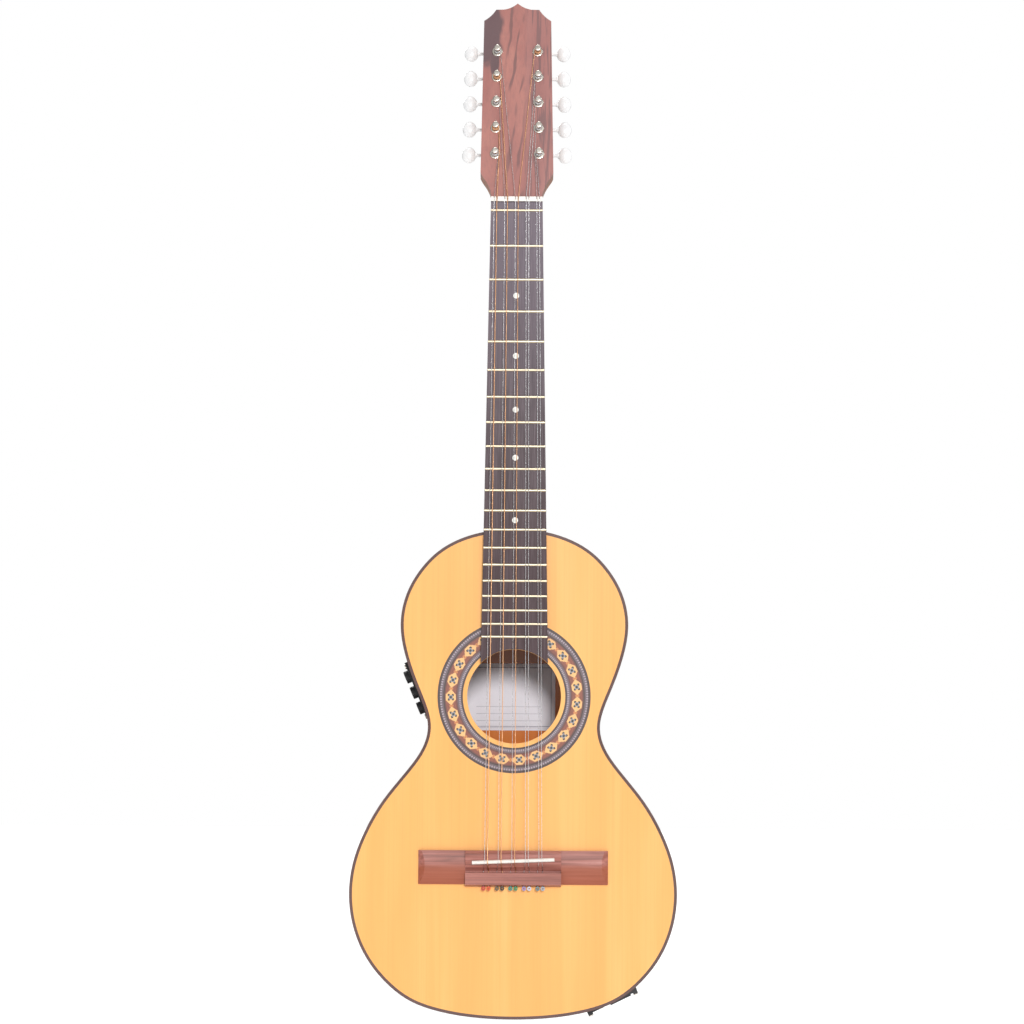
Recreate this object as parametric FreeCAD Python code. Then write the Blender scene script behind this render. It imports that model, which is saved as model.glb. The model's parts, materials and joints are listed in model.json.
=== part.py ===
# Viola caipira: a ten-string guitar-shaped instrument with five double courses.
# Frame: +Z up towards the head, +X towards the treble side, the strings face -Y.
# The plane y = 0 is the front of the soundboard and the underside of the fingerboard.
# The origin lies on the centreline at the head side of the nut. Lengths are millimetres.
import FreeCAD
import Part
import math
import os

V = FreeCAD.Vector
origin = V(0, 0, 0)
axis_x = V(1, 0, 0)
axis_y = V(0, 1, 0)
axis_z = V(0, 0, 1)

# How far a cutting tool runs past the face that it cuts
overrun = 2.0

# Scale and fingerboard
scale_length = 580.0
fret_count = 19
body_fret = 12
zero_fret_gap = 8.1
nut_thickness = 4.2
nut_height = 8.5
nut_slot_fall = 1.0
nut_slot_play = 0.4
board_width_nut = 46.9
board_width_end = 60.5
board_thickness = 6.0
board_arc_gap = 0.3
fret_width = 2.2
fret_height = 1.2
fret_tang_width = 0.6
fret_tang_depth = 2.6
fret_inset = 0.3
dot_diameter = 5.4
dot_depth = 1.5
dot_frets = (3, 5, 7, 9, 12)

# Body outline: half width as a share of the lower bout, at shares of the body length
body_length = 440.0
lower_bout_width = 294.6
body_lap = 1.0
outline_shares = [
    (0.0227, 0.348), (0.0475, 0.4725), (0.0802, 0.5685), (0.1295, 0.656), (0.1977, 0.697),
    (0.2607, 0.667), (0.3261, 0.599), (0.3752, 0.542), (0.4023, 0.526), (0.4405, 0.5465),
    (0.4893, 0.637), (0.5545, 0.793), (0.6198, 0.907), (0.6848, 0.978), (0.7498, 1.0),
    (0.8145, 0.972), (0.8793, 0.8866), (0.9280, 0.7665), (0.9602, 0.641), (0.9843, 0.448),
    (0.9966, 0.224)]
inset_samples = 96

# Body shell
depth_at_neck = 78.0
depth_at_tail = 86.0
back_arch_radius = 3500.0
top_thickness = 2.6
back_thickness = 2.6
side_thickness = 2.2
binding_width = 2.7
binding_depth = 5.0
lining_width = 6.0
lining_depth = 14.0
soundhole_drop = 151.1
soundhole_diameter = 84.6
neck_block_width = 70.0
neck_block_length = 22.0
tail_block_width = 60.0
tail_block_length = 14.0

# Rosette rings, measured from the centre of the soundhole
rosette_inner_radius = 46.2
tile_inner_radius = 52.4
tile_outer_radius = 62.3
rosette_outer_radius = 69.0
rosette_depth = 1.2

# Bracing
cross_bar_width = 8.0
cross_bar_height = 15.0
cross_bar_reach = 62.0
hole_ring_width = 11.0
hole_ring_gap = 2.0
hole_ring_thickness = 1.6
fan_count = 5
fan_width = 6.0
fan_height = 6.0
fan_length = 165.0
fan_spread = 27.0
fan_angle = 8.5
bridge_plate_length = 176.0
bridge_plate_width = 36.0
bridge_plate_thickness = 2.0
back_brace_width = 12.0
back_brace_height = 13.0
back_brace_shares = (0.165, 0.485, 0.69, 0.865)

# Label: a plain paper rectangle on the inside of the back
label_width = 96.0
label_height = 70.0
label_thickness = 0.3
label_drop = 2.3

# Bridge and saddle
saddle_length = 73.8
saddle_thickness = 3.2
saddle_height = 7.0
saddle_crown_height = 12.0
saddle_offset_treble = 7.2
saddle_offset_bass = 10.1
bridge_length = 170.2
bridge_width = 30.2
bridge_front_offset = -1.8
block_length = 86.0
block_height = 8.6
wing_height = 5.4
wing_edge_height = 3.4
wing_bevel = 5.7
front_slope = 2.8
block_crest = 4.6
block_rear_slope = 2.2
saddle_land = 13.8
rear_land_height = 6.6
ramp_run = 4.2
ramp_floor = 3.2
ramp_flat = 1.4
tie_height = 9.2
tie_hole_diameter = 1.6
tie_hole_height = 4.6
piezo_height = 1.8
piezo_width = 2.4
ball_diameter = 3.8
ball_length = 3.0
ball_bore = 1.4

# Strings, bass to treble: diameters, and x at the zero fret and at the saddle
string_diameters = (0.46, 0.86, 0.40, 0.74, 0.40, 0.62, 0.46, 0.46, 0.40, 0.40)
wound_strings = (1, 3, 5)
course_spacing_nut = 9.7
course_spacing_saddle = 12.15
pair_spacing_nut = 2.5
pair_spacing_saddle = 3.1
pair_spacing_tie = 4.7
string_lift = 0.04
string_bend_radius = 5.0
string_tie_bend_radius = 2.0
string_bend_reach = 1.9

# Neck
neck_depth_nut = 15.0
neck_depth_heel = 17.5
volute_start = 34.0
volute_length = 29.0
volute_middle_width = 62.0
volute_middle_depth = 16.6
volute_end_width = 120.0
volute_end_depth = 20.0
heel_reach = 78.0
heel_width = 49.0
heel_cap_thickness = 2.6
heel_shares = [
    (0.10, 1.00, 1.00), (0.25, 0.93, 0.60), (0.42, 0.78, 0.37), (0.66, 0.62, 0.25), (1.00, 0.51, 0.20)]
tenon_width = 20.0
tenon_depth = 52.0
tenon_length = 12.0
rod_width = 6.0
rod_height = 8.0
rod_end_gap = 14.0

# Head
head_angle = 13.0
head_length = 193.0
head_width = 66.4
head_thickness = 14.6
veneer_thickness = 2.2
throat_shares = [(0.708, 0.020), (0.755, 0.047), (0.828, 0.075), (0.934, 0.103)]
head_corner_share = 0.125
head_shoulder_shares = (0.934, 0.908)
head_cove_shares = (0.780, 0.928)
head_flat_shares = (0.602, 0.9665)
head_curl_start_shares = (0.377, 0.9675)
head_curl_shares = (0.157, 0.9805)

# Tuning machines
tuner_count = 5
tuner_first = 42.0
tuner_pitch = 25.5
tuner_row_half = 20.05
tuner_row_tilt = 0.83
post_diameter = 6.0
post_groove_diameter = 5.0
post_height = 11.8
post_groove_start = 4.0
post_groove_length = 6.6
post_hole_diameter = 1.6
post_cap_round = 0.9
post_tail_length = 2.4
running_gap = 0.05
free_gap = 0.4
bushing_diameter = 8.0
bushing_depth = 7.0
flange_diameter = 9.8
flange_thickness = 1.4
winding_turns_plain = 4
winding_turns_wound = 3
winding_gap = 0.46
plate_thickness = 1.2
plate_inner_reach = 8.6
plate_outer_reach = 9.8
plate_end_reach = 17.0
wheel_teeth = 15
wheel_pitch_radius = 4.8
wheel_thickness = 3.2
tooth_addendum = 0.5
tooth_dedendum = 0.75
tooth_root_width = 0.95
tooth_tip_width = 0.40
worm_pitch_radius = 2.7
thread_root_width = 1.0
thread_tip_width = 0.44
thread_turns = 3
worm_end_length = 0.5
spindle_diameter = 3.2
lug_thickness = 1.9
lug_width = 7.4
lug_gap = 0.12
button_offset = 24.3
button_length = 12.9
button_width = 15.6
button_thickness = 8.4
ferrule_diameter = 4.4
ferrule_length = 1.4
gear_screw_diameter = 2.2
gear_screw_length = 6.0
gear_screw_head = 5.2
gear_screw_head_height = 1.2

# Wood screws
screw_diameter = 2.2
screw_length = 9.0
screw_head_diameter = 4.4
screw_head_height = 1.0
screw_slot_width = 0.6
screw_slot_depth = 0.5

# Preamp on the bass side
preamp_drop = 146.6
preamp_length = 56.0
preamp_width = 34.0
preamp_proud = 2.4
preamp_wall = 1.6
preamp_box_length = 46.0
preamp_box_width = 24.0
preamp_box_depth = 20.0
preamp_screw_inset = 3.6
board_level_share = 0.55
circuit_thickness = 1.6
knob_count = 3
knob_pitch = 15.2
knob_diameter = 11.6
knob_height = 4.4
knob_gap = 0.4
knob_shaft_diameter = 4.0
knob_line_width = 0.9
knob_line_depth = 0.5

# End plate on the treble side of the tail: jack and battery drawer
end_plate_drop = 425.0
end_plate_length = 49.2
end_plate_width = 40.0
end_plate_proud = 2.6
end_lip_length = 4.4
end_lip_height = 1.6
end_screw_inset = 3.4
drawer_offset = -7.6
drawer_length = 20.4
drawer_width = 31.0
drawer_depth = 54.0
drawer_wall = 1.4
drawer_gap = 0.3
drawer_face_height = 1.8
well_wall = 1.6
battery_length = 44.0
battery_terminal_height = 3.0
battery_terminal_diameter = 5.6
battery_width = 26.5
battery_thickness = 17.0
drawer_notch_width = 12.0
drawer_notch_depth = 0.9
jack_offset = 12.0
jack_bore_diameter = 6.4
jack_barrel_diameter = 9.0
jack_length = 24.0
jack_nut_diameter = 12.6
jack_nut_height = 2.2

# Leads inside the body
lead_diameter = 2.4
lead_stub = 16.0


def station(distance):
    """Height of a point at a distance below the zero fret, measured along the strings."""
    return -(nut_thickness + zero_fret_gap) - distance


def fret_distance(number):
    return scale_length * (1 - 2 ** (-number / 12.0))


zero_fret_z = station(0)
body_top_z = station(fret_distance(body_fret) - body_lap)
body_bottom_z = body_top_z - body_length
hole_z = body_top_z - soundhole_drop
bridge_front_z = station(scale_length + bridge_front_offset)
bridge_rear_z = bridge_front_z - bridge_width
string_plane_y = -(board_thickness + fret_height)
taper = math.atan2(depth_at_tail - depth_at_neck, body_length)
plate_back = head_thickness + plate_thickness
worm_outer_radius = worm_pitch_radius + tooth_addendum
worm_depth = plate_back + worm_outer_radius + free_gap
worm_distance = wheel_pitch_radius + worm_pitch_radius


def box(low, high):
    size = high - low
    return Part.makeBox(size.x, size.y, size.z, low)


def rod(radius, start, end):
    return Part.makeCylinder(radius, (end - start).Length, start, (end - start).normalize())


def polygon_face(points):
    return Part.Face(Part.makePolygon(points + [points[0]]))


def fuse_all(shapes):
    return shapes[0].multiFuse(shapes[1:]).removeSplitter()


def group(shapes):
    """Separate solids kept apart in one node."""
    solids = []
    for shape in shapes:
        solids.extend(shape.Solids)
    return Part.makeCompound(solids)


def frame_at(place, ex, ey, ez):
    return FreeCAD.Matrix(ex.x, ey.x, ez.x, place.x, ex.y, ey.y, ez.y, place.y,
                          ex.z, ey.z, ez.z, place.z, 0, 0, 0, 1)


def placed(shape, matrix):
    return shape.transformed(matrix, True)


def export(name, shape):
    solids = shape.Solids
    volume = sum(solid.Volume for solid in solids)
    valid = all(solid.isValid() for solid in solids)
    if not valid or not solids:
        print("check", name, "valid", valid, "solids", len(solids))
    print("%-20s %3d solids %12.1f mm3" % (name, len(solids), volume))
    shape.exportStep("parts/" + name + ".step")


# Body outline and the solids that follow it

def outline_curve():
    half = lower_bout_width / 2
    right = [V(half * w, 0, body_top_z - body_length * l) for l, w in outline_shares]
    left = [V(-p.x, 0, p.z) for p in reversed(right)]
    points = [V(0, 0, body_top_z)] + right + [V(0, 0, body_bottom_z)] + left
    curve = Part.BSplineCurve()
    curve.interpolate(Points=points, PeriodicFlag=True)
    return curve


def inset_curve(inset):
    """The outline moved inwards, square to itself."""
    base = outline_curve()
    if inset == 0:
        return base
    span = base.LastParameter - base.FirstParameter
    points = []
    for index in range(inset_samples):
        at = base.FirstParameter + span * index / inset_samples
        tangent = base.tangent(at)[0]
        inward = axis_y.cross(tangent).normalize() * inset
        points.append(base.value(at) + inward)
    curve = Part.BSplineCurve()
    curve.interpolate(Points=points, PeriodicFlag=True)
    return curve


def outline_prism(inset, front, back):
    wire = Part.Wire([inset_curve(inset).toShape()])
    wire.translate(axis_y * front)
    return Part.Face(wire).extrude(axis_y * (back - front))


deep = depth_at_tail + overrun


def under_back(drop):
    """Everything in front of the arched back, held off its outer face by drop."""
    along = V(0, math.sin(taper), -math.cos(taper))
    start = V(0, depth_at_neck - back_arch_radius / math.cos(taper), body_top_z)
    start = start - along * deep
    length = body_length / math.cos(taper) + 2 * deep
    return Part.makeCylinder(back_arch_radius - drop, length, start, along)


def shell_prism(inset, front, drop):
    return outline_prism(inset, front, deep).common(under_back(drop))


def back_y(x, z, drop):
    """Depth of the arched back's face at a place, less drop."""
    along = (body_top_z - z) * math.tan(taper)
    arch = back_arch_radius - math.sqrt(back_arch_radius ** 2 - x * x)
    return depth_at_neck + along - arch - drop / math.cos(taper)


def make_bindings():
    front = outline_prism(0, 0, binding_depth).cut(outline_prism(binding_width, 0, binding_depth))
    outer = shell_prism(0, depth_at_neck / 2, 0)
    inner = outline_prism(binding_width, depth_at_neck / 2, deep)
    back = outer.cut(inner).cut(under_back(binding_depth))
    return front, back


def make_soundboard():
    board = outline_prism(binding_width, 0, top_thickness)
    hole = rod(soundhole_diameter / 2, V(0, -overrun, hole_z), V(0, top_thickness + overrun, hole_z))
    channel = ring(rosette_inner_radius, rosette_outer_radius, 0, rosette_depth)
    return board.cut([hole, channel, lead_hole()])


def ring(inner, outer, front, back):
    centre = V(0, front, hole_z)
    end = V(0, back, hole_z)
    return rod(outer, centre, end).cut(rod(inner, centre, end))


def make_rosette():
    edges = (rosette_inner_radius, tile_inner_radius, tile_outer_radius, rosette_outer_radius)
    return group([ring(a, b, 0, rosette_depth) for a, b in zip(edges, edges[1:])])


def make_back_plate():
    return shell_prism(binding_width, depth_at_neck / 2, 0).cut(under_back(back_thickness))


def neck_block_box():
    low = V(-neck_block_width / 2, 0, body_top_z - side_thickness - neck_block_length)
    return box(low, V(neck_block_width / 2, deep, body_top_z))


def tail_block_box():
    low = V(-tail_block_width / 2, 0, body_bottom_z)
    return box(low, V(tail_block_width / 2, deep, body_bottom_z + side_thickness + tail_block_length))


def tenon_box():
    """The neck's tenon, which runs on into the heel."""
    half = tenon_width / 2
    low = V(-half, binding_depth, body_top_z - side_thickness - tenon_length)
    return box(low, V(half, binding_depth + tenon_depth, body_top_z + overrun))


def make_sides():
    wall = outline_prism(0, binding_depth, deep).common(under_back(binding_depth))
    wall = wall.cut(outline_prism(side_thickness, 0, deep)).cut(tenon_box())
    half = lower_bout_width / 2 + overrun
    bass = wall.common(box(V(-half, 0, body_bottom_z - overrun), V(0, deep, body_top_z + overrun)))
    treble = wall.common(box(V(0, 0, body_bottom_z - overrun), V(half, deep, body_top_z + overrun)))
    bass = bass.cut([preamp_opening()] + preamp_screw_holes())
    treble = treble.cut([end_opening()] + end_screw_holes())
    return bass, treble


def make_linings(bindings):
    inner = outline_prism(side_thickness + lining_width, 0, deep)
    blocks = [neck_block_box(), tail_block_box()]
    front = outline_prism(side_thickness, top_thickness, top_thickness + lining_depth)
    front = front.cut([inner, bindings[0]] + blocks)
    back = shell_prism(side_thickness, depth_at_neck / 2, back_thickness)
    back = back.cut(under_back(back_thickness + lining_depth))
    back = back.cut([inner, bindings[1]] + blocks)
    return group([front, back])


def inner_space(inset):
    return outline_prism(inset, top_thickness, deep).common(under_back(back_thickness))


def make_blocks(bindings):
    space = inner_space(side_thickness)
    neck_block = space.common(neck_block_box()).cut([tenon_box(), bindings[0], bindings[1]])
    tail_block = space.common(tail_block_box()).cut([bindings[0], bindings[1]])
    return neck_block, tail_block


def cross_bar(z):
    low = V(-lower_bout_width / 2, top_thickness, z - cross_bar_width / 2)
    high = V(lower_bout_width / 2, top_thickness + cross_bar_height, z + cross_bar_width / 2)
    bar = box(low, high)
    return bar.common(inner_space(side_thickness + lining_width))


def fan_strut(index):
    """One of the struts that spread under the lower bout."""
    step = index - (fan_count - 1) / 2.0
    start = V(step * fan_spread, top_thickness, hole_z - cross_bar_reach - cross_bar_width / 2)
    section = [V(-fan_width / 2, 0, 0), V(fan_width / 2, 0, 0),
               V(fan_width / 4, fan_height, 0), V(-fan_width / 4, fan_height, 0)]
    strut = polygon_face(section).extrude(V(0, 0, -fan_length))
    strut.rotate(origin, axis_y, -step * fan_angle)
    strut.translate(start)
    lower = box(V(-lower_bout_width / 2, 0, body_bottom_z), V(lower_bout_width / 2, deep, start.z))
    return strut.common(lower).common(inner_space(side_thickness + lining_width))


def make_bridge_plate():
    centre_z = bridge_front_z - bridge_width / 2
    low = V(-bridge_plate_length / 2, top_thickness, centre_z - bridge_plate_width / 2)
    size = V(bridge_plate_length, bridge_plate_thickness, bridge_plate_width)
    return box(low, low + size).cut(lead_hole())


def make_top_braces(bridge_plate):
    bars = [cross_bar(hole_z + cross_bar_reach), cross_bar(hole_z - cross_bar_reach)]
    inner = soundhole_diameter / 2 + hole_ring_gap
    patch = ring(inner, inner + hole_ring_width, top_thickness, top_thickness + hole_ring_thickness)
    fans = [fan_strut(index).cut(bridge_plate) for index in range(fan_count)]
    return group(bars + [patch.cut(bars)] + fans)


def make_back_braces():
    layer = under_back(back_thickness).cut(under_back(back_thickness + back_brace_height))
    space = outline_prism(side_thickness + lining_width, 0, deep)
    braces = []
    for share in back_brace_shares:
        z = body_top_z - body_length * share
        low = V(-lower_bout_width / 2, 0, z - back_brace_width / 2)
        high = V(lower_bout_width / 2, deep, z + back_brace_width / 2)
        braces.append(box(low, high).common(space).common(layer))
    return group(braces)


def make_label():
    centre_z = hole_z + label_drop
    low = V(-label_width / 2, 0, centre_z - label_height / 2)
    sheet = box(low, V(label_width / 2, deep, centre_z + label_height / 2))
    return sheet.common(under_back(back_thickness)).cut(under_back(back_thickness + label_thickness))


# Neck, fingerboard and frets

def board_half_width(z):
    run = -nut_thickness - board_end_z
    share = (-nut_thickness - z) / run
    return (board_width_nut + (board_width_end - board_width_nut) * share) / 2


board_arc_radius = soundhole_diameter / 2 + board_arc_gap
board_end_z = hole_z + math.sqrt(board_arc_radius ** 2 - (board_width_end / 2) ** 2)


def board_trapezoid(z_high, z_low, front, back):
    high = board_half_width(z_high)
    low = board_half_width(z_low)
    points = [V(-high, front, z_high), V(high, front, z_high), V(low, front, z_low), V(-low, front, z_low)]
    return polygon_face(points).extrude(V(0, back - front, 0))


def fret_places():
    return [station(fret_distance(number)) for number in range(fret_count + 1)]


def make_fret(z):
    half = board_half_width(z) - fret_inset
    w = fret_width / 2
    radius = (w * w + fret_height * fret_height) / (2 * fret_height)
    crown = rod(radius, V(-half, string_plane_y + radius, z), V(half, string_plane_y + radius, z))
    above = box(V(-half, string_plane_y, z - w), V(half, -board_thickness, z + w))
    return crown.common(above).fuse(fret_tang(z, half)).removeSplitter()


def fret_tang(z, half):
    low = V(-half, -board_thickness, z - fret_tang_width / 2)
    return box(low, V(half, -board_thickness + fret_tang_depth, z + fret_tang_width / 2))


def dot_place(number):
    return station((fret_distance(number - 1) + fret_distance(number)) / 2)


def make_dot(number):
    start = V(0, -board_thickness, dot_place(number))
    return rod(dot_diameter / 2, start, start + axis_y * dot_depth)


def make_fingerboard():
    board = board_trapezoid(-nut_thickness, board_end_z, -board_thickness, 0)
    arc = rod(board_arc_radius, V(0, -board_thickness - overrun, hole_z), V(0, overrun, hole_z))
    tangs = [fret_tang(z, board_half_width(z) - fret_inset) for z in fret_places()]
    dots = [make_dot(number) for number in dot_frets]
    return board.cut([arc] + tangs + dots)


def round_section(place, ex, depth_axis, half, depth):
    """Closed D section: flat front, half-ellipse back, with straight cheeks in front of the flat."""
    right = place + ex * half
    left = place - ex * half
    bottom = place + depth_axis * depth
    if half > depth:
        back = Part.ArcOfEllipse(Part.Ellipse(right, bottom, place), 0, math.pi)
    else:
        back = Part.ArcOfEllipse(Part.Ellipse(bottom, left, place), -math.pi / 2, math.pi / 2)
    front = depth_axis * -overrun
    cheeks = [Part.makeLine(left, left + front), Part.makeLine(left + front, right + front),
              Part.makeLine(right + front, right)]
    return Part.Wire([back.toShape()] + cheeks)


head_up = V(0, math.sin(math.radians(head_angle)), math.cos(math.radians(head_angle)))
head_back = V(0, math.cos(math.radians(head_angle)), -math.sin(math.radians(head_angle)))


def head_point(x, along, behind):
    """A point of the head: along it from the nut, and behind the veneer's glue face."""
    return axis_x * x + head_up * along + head_back * behind


def head_outline(behind):
    half = head_width / 2

    def at(shares, side):
        return head_point(side * half * shares[0], head_length * shares[1], behind)

    def side_edges(side):
        nut_corner = head_point(side * board_half_width(0), 0, behind)
        corner = at((1.0, head_corner_share), side)
        throat = Part.BSplineCurve()
        throat.interpolate([nut_corner] + [at(share, side) for share in throat_shares] + [corner])
        shoulder = at(head_shoulder_shares, side)
        flat = at(head_flat_shares, side)
        curl = at(head_curl_start_shares, side)
        tip = head_point(0, head_length, behind)
        cove = Part.Arc(shoulder, at(head_cove_shares, side), flat)
        crest = Part.Arc(curl, at(head_curl_shares, side), tip)
        return [throat.toShape(), Part.makeLine(corner, shoulder), cove.toShape(),
                Part.makeLine(flat, curl), crest.toShape()]

    left = head_point(-board_half_width(0), 0, behind)
    right = head_point(board_half_width(0), 0, behind)
    below = head_up * (-nut_thickness - overrun)
    foot = [Part.makeLine(left, left + below), Part.makeLine(left + below, right + below),
            Part.makeLine(right + below, right)]
    edges = side_edges(1) + side_edges(-1) + foot
    return Part.Wire(Part.__sortEdges__(edges))


def head_prism(front, back):
    return Part.Face(head_outline(front)).extrude(head_back * (back - front))


def front_cutter(behind):
    """All that lies in front of the neck's glue faces, from the heel to the head's tip."""
    far = head_length * 2
    high = head_point(0, far, behind)
    low_z = body_top_z - overrun - neck_block_length
    profile = [V(-far, 0, low_z), V(-far, 0, 0), V(-far, high.y, high.z), V(-far, -far, high.z),
               V(-far, -far, low_z)]
    return polygon_face(profile).extrude(V(2 * far, 0, 0))


def neck_shaft():
    start_z = -volute_start
    end_z = body_top_z - side_thickness
    first = round_section(V(0, 0, start_z), axis_x, axis_y, board_half_width(start_z), neck_depth_nut)
    last = round_section(V(0, 0, end_z), axis_x, axis_y, board_half_width(end_z), neck_depth_heel)
    return Part.makeLoft([first, last], True, True)


def neck_volute():
    """The blend from the round neck to the square-edged head, wider and deeper than what trims it."""
    start_z = -volute_start
    bisector = (axis_y + head_back).normalize()
    sections = [
        round_section(V(0, 0, start_z), axis_x, axis_y, board_half_width(start_z), neck_depth_nut),
        round_section(origin, axis_x, bisector, volute_middle_width / 2, volute_middle_depth),
        round_section(head_point(0, volute_length, 0), axis_x, head_back, volute_end_width / 2,
                      volute_end_depth)]
    return Part.makeLoft(sections, True, True)


def heel_height():
    return back_y(0, body_top_z, 0) - heel_cap_thickness


def heel_section(share):
    depth_share, width_share, reach_share = share
    place = V(0, heel_height() * depth_share, body_top_z - binding_depth)
    reach = heel_reach * reach_share + binding_depth
    return round_section(place, axis_x, axis_z, heel_width / 2 * width_share, reach)


def make_heel():
    body = outline_prism(0, -overrun, deep + overrun)
    heel = Part.makeLoft([heel_section(share) for share in heel_shares], True, False)
    return heel.cut(body)


def make_heel_cap():
    last = (1.0,) + heel_shares[-1][1:]
    cap = Part.Face(heel_section(last)).extrude(axis_y * heel_cap_thickness)
    return cap.cut(outline_prism(0, -overrun, deep + overrun))


def rod_box():
    low = V(-rod_width / 2, 0, body_top_z + rod_end_gap)
    return box(low, V(rod_width / 2, rod_height, zero_fret_z - rod_end_gap))


def make_neck(screw_shanks):
    body = outline_prism(0, -overrun, deep + overrun)
    shaft = neck_shaft().cut(body)
    slab = head_prism(0, head_thickness)
    above = box(V(-head_width, -head_length, 0), V(head_width, head_length, head_length * 2))
    upper = slab.common(above)
    blend = neck_volute()
    below = box(V(-head_width, -head_length, -head_length), V(head_width, head_length, 0))
    width = board_trapezoid(0, -volute_start, -head_thickness, 2 * head_thickness)
    blend_head = blend.common(above).common(slab)
    blend_neck = blend.common(below).common(width)
    plain = upper.cut(slab_foot_cutter())
    neck = fuse_all([shaft, blend_neck, blend_head, plain, make_heel(), tenon_box()])
    neck = neck.cut([front_cutter(0), rod_box()])
    return neck.cut(post_holes(bushing_diameter / 2, -overrun, bushing_depth) +
                    post_holes(post_diameter / 2 + free_gap, bushing_depth, head_thickness + overrun) +
                    screw_shanks)


def slab_foot_cutter():
    """The part of the head's slab that the blend takes the place of."""
    far = head_width
    low = head_point(-far, -far, -far)
    matrix = frame_at(low, axis_x, head_up, head_back)
    run = far + volute_length - overrun / 2
    return placed(Part.makeBox(2 * far, run, 3 * far), matrix)


def make_head_veneer():
    veneer = head_prism(-veneer_thickness, 0)
    far = head_length * 2
    veneer = veneer.common(box(V(-far, -far, 0), V(far, far, far)))
    return veneer.cut(post_holes(bushing_diameter / 2, -veneer_thickness - overrun, overrun))


def nut_slot(index):
    """Saw slot whose floor is level to the nut's middle and falls towards the head behind it."""
    half = string_diameters[index] / 2 + nut_slot_play
    x = string_x(index, -nut_thickness / 2)
    front = -nut_height - overrun
    floor = string_plane_y + string_lift
    points = [V(x - half, front, -nut_thickness - overrun), V(x - half, floor, -nut_thickness - overrun),
              V(x - half, floor, -nut_thickness / 2), V(x - half, floor + nut_slot_fall, 0),
              V(x - half, floor + nut_slot_fall, overrun), V(x - half, front, overrun)]
    return polygon_face(points).extrude(V(2 * half, 0, 0))


def make_nut():
    block = board_trapezoid(0, -nut_thickness, -nut_height, 0)
    return block.cut([nut_slot(index) for index in range(len(string_diameters))])


# Bridge, saddle and pickup

def saddle_centre_z():
    return station(scale_length + (saddle_offset_treble + saddle_offset_bass) / 2 - saddle_thickness / 2)


saddle_slant = math.atan2(saddle_offset_bass - saddle_offset_treble, saddle_length)


def saddle_z(x):
    """Middle of the saddle at a place along it: the bass end lies nearer the tail."""
    return saddle_centre_z() + x * math.tan(saddle_slant)


def saddle_box(length, width, y_low, y_high):
    solid = box(V(-length / 2, y_low, -width / 2), V(length / 2, y_high, width / 2))
    solid.rotate(origin, axis_y, -math.degrees(saddle_slant))
    solid.translate(V(0, 0, saddle_centre_z()))
    return solid


def make_saddle():
    foot = -saddle_crown_height + saddle_height
    crown_radius = saddle_thickness / 2
    body = saddle_box(saddle_length, saddle_thickness, -saddle_crown_height + crown_radius, foot)
    along = V(math.cos(saddle_slant), 0, math.sin(saddle_slant)) * (saddle_length / 2)
    centre = V(0, -saddle_crown_height + crown_radius, saddle_centre_z())
    crown = rod(crown_radius, centre - along, centre + along)
    return body.fuse(crown).removeSplitter()


piezo_front = -saddle_crown_height + saddle_height


def make_piezo():
    return saddle_box(saddle_length - saddle_thickness, piezo_width, piezo_front, piezo_front + piezo_height)


def lead_top():
    """Where the pickup's lead leaves its underside, near the bass end of the saddle."""
    x = -saddle_length / 2 + saddle_thickness + lead_diameter
    return V(x, piezo_front + piezo_height, saddle_z(x))


def lead_hole():
    """Clearance hole for the pickup's lead through bridge, soundboard and bridge plate."""
    return rod(lead_diameter / 2 + free_gap, lead_top(), lead_top() + axis_y * deep / 2)


def extrude_profile(points, half):
    return polygon_face([V(-half, y, z) for z, y in points]).extrude(V(2 * half, 0, 0))


def bridge_block():
    z = bridge_front_z
    ramp_z = z - saddle_land
    tie_z = ramp_z - ramp_run - ramp_flat
    crest_z = z - front_slope
    points = [(z, 0), (z, -wing_height), (crest_z, -block_height), (crest_z - block_crest, -block_height),
              (ramp_z, -rear_land_height), (ramp_z - ramp_run, -ramp_floor), (tie_z, -ramp_floor),
              (tie_z, -tie_height), (bridge_rear_z, -tie_height), (bridge_rear_z - block_rear_slope, 0)]
    return extrude_profile(points, block_length / 2)


def bridge_wings():
    """Both wings: the ends of a long bar with a rounded crest and bevelled tips."""
    front = V(0, -wing_edge_height, bridge_front_z)
    crest = V(0, -wing_height, bridge_front_z - bridge_width / 2 + tie_hole_height)
    rear = V(0, -wing_edge_height + ramp_flat, bridge_rear_z)
    arc = Part.Arc(front, crest, rear).toShape()
    lines = [Part.makeLine(rear, V(0, 0, rear.z)), Part.makeLine(V(0, 0, rear.z), V(0, 0, front.z)),
             Part.makeLine(V(0, 0, front.z), front)]
    face = Part.Face(Part.Wire([arc] + lines))
    face.translate(V(-bridge_length / 2, 0, 0))
    bar = face.extrude(V(bridge_length, 0, 0))
    middle = box(V(-block_length / 2, -block_height, bridge_rear_z), V(block_length / 2, 0, bridge_front_z))
    return bar.cut([wing_end_cutter(1), wing_end_cutter(-1), middle])


def wing_end_cutter(side):
    end = side * bridge_length / 2
    inner = end - side * wing_bevel
    top = -wing_height - overrun
    points = [V(inner, -wing_height, 0), V(end, -wing_edge_height / 2, 0), V(end + side * overrun, top, 0),
              V(inner, top, 0)]
    face = polygon_face(points)
    face.translate(V(0, 0, bridge_rear_z - overrun))
    return face.extrude(V(0, 0, bridge_width + 2 * overrun))


def make_bridge():
    slot = saddle_box(saddle_length, saddle_thickness, -block_height - overrun, piezo_front)
    bed = saddle_box(saddle_length - saddle_thickness, piezo_width, piezo_front, piezo_front + piezo_height)
    holes = [tie_hole(index) for index in range(len(string_diameters))]
    return bridge_block().fuse(bridge_wings()).cut([slot, bed, lead_hole()] + holes).removeSplitter()


def tie_front_z():
    return bridge_front_z - saddle_land - ramp_run - ramp_flat


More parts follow.
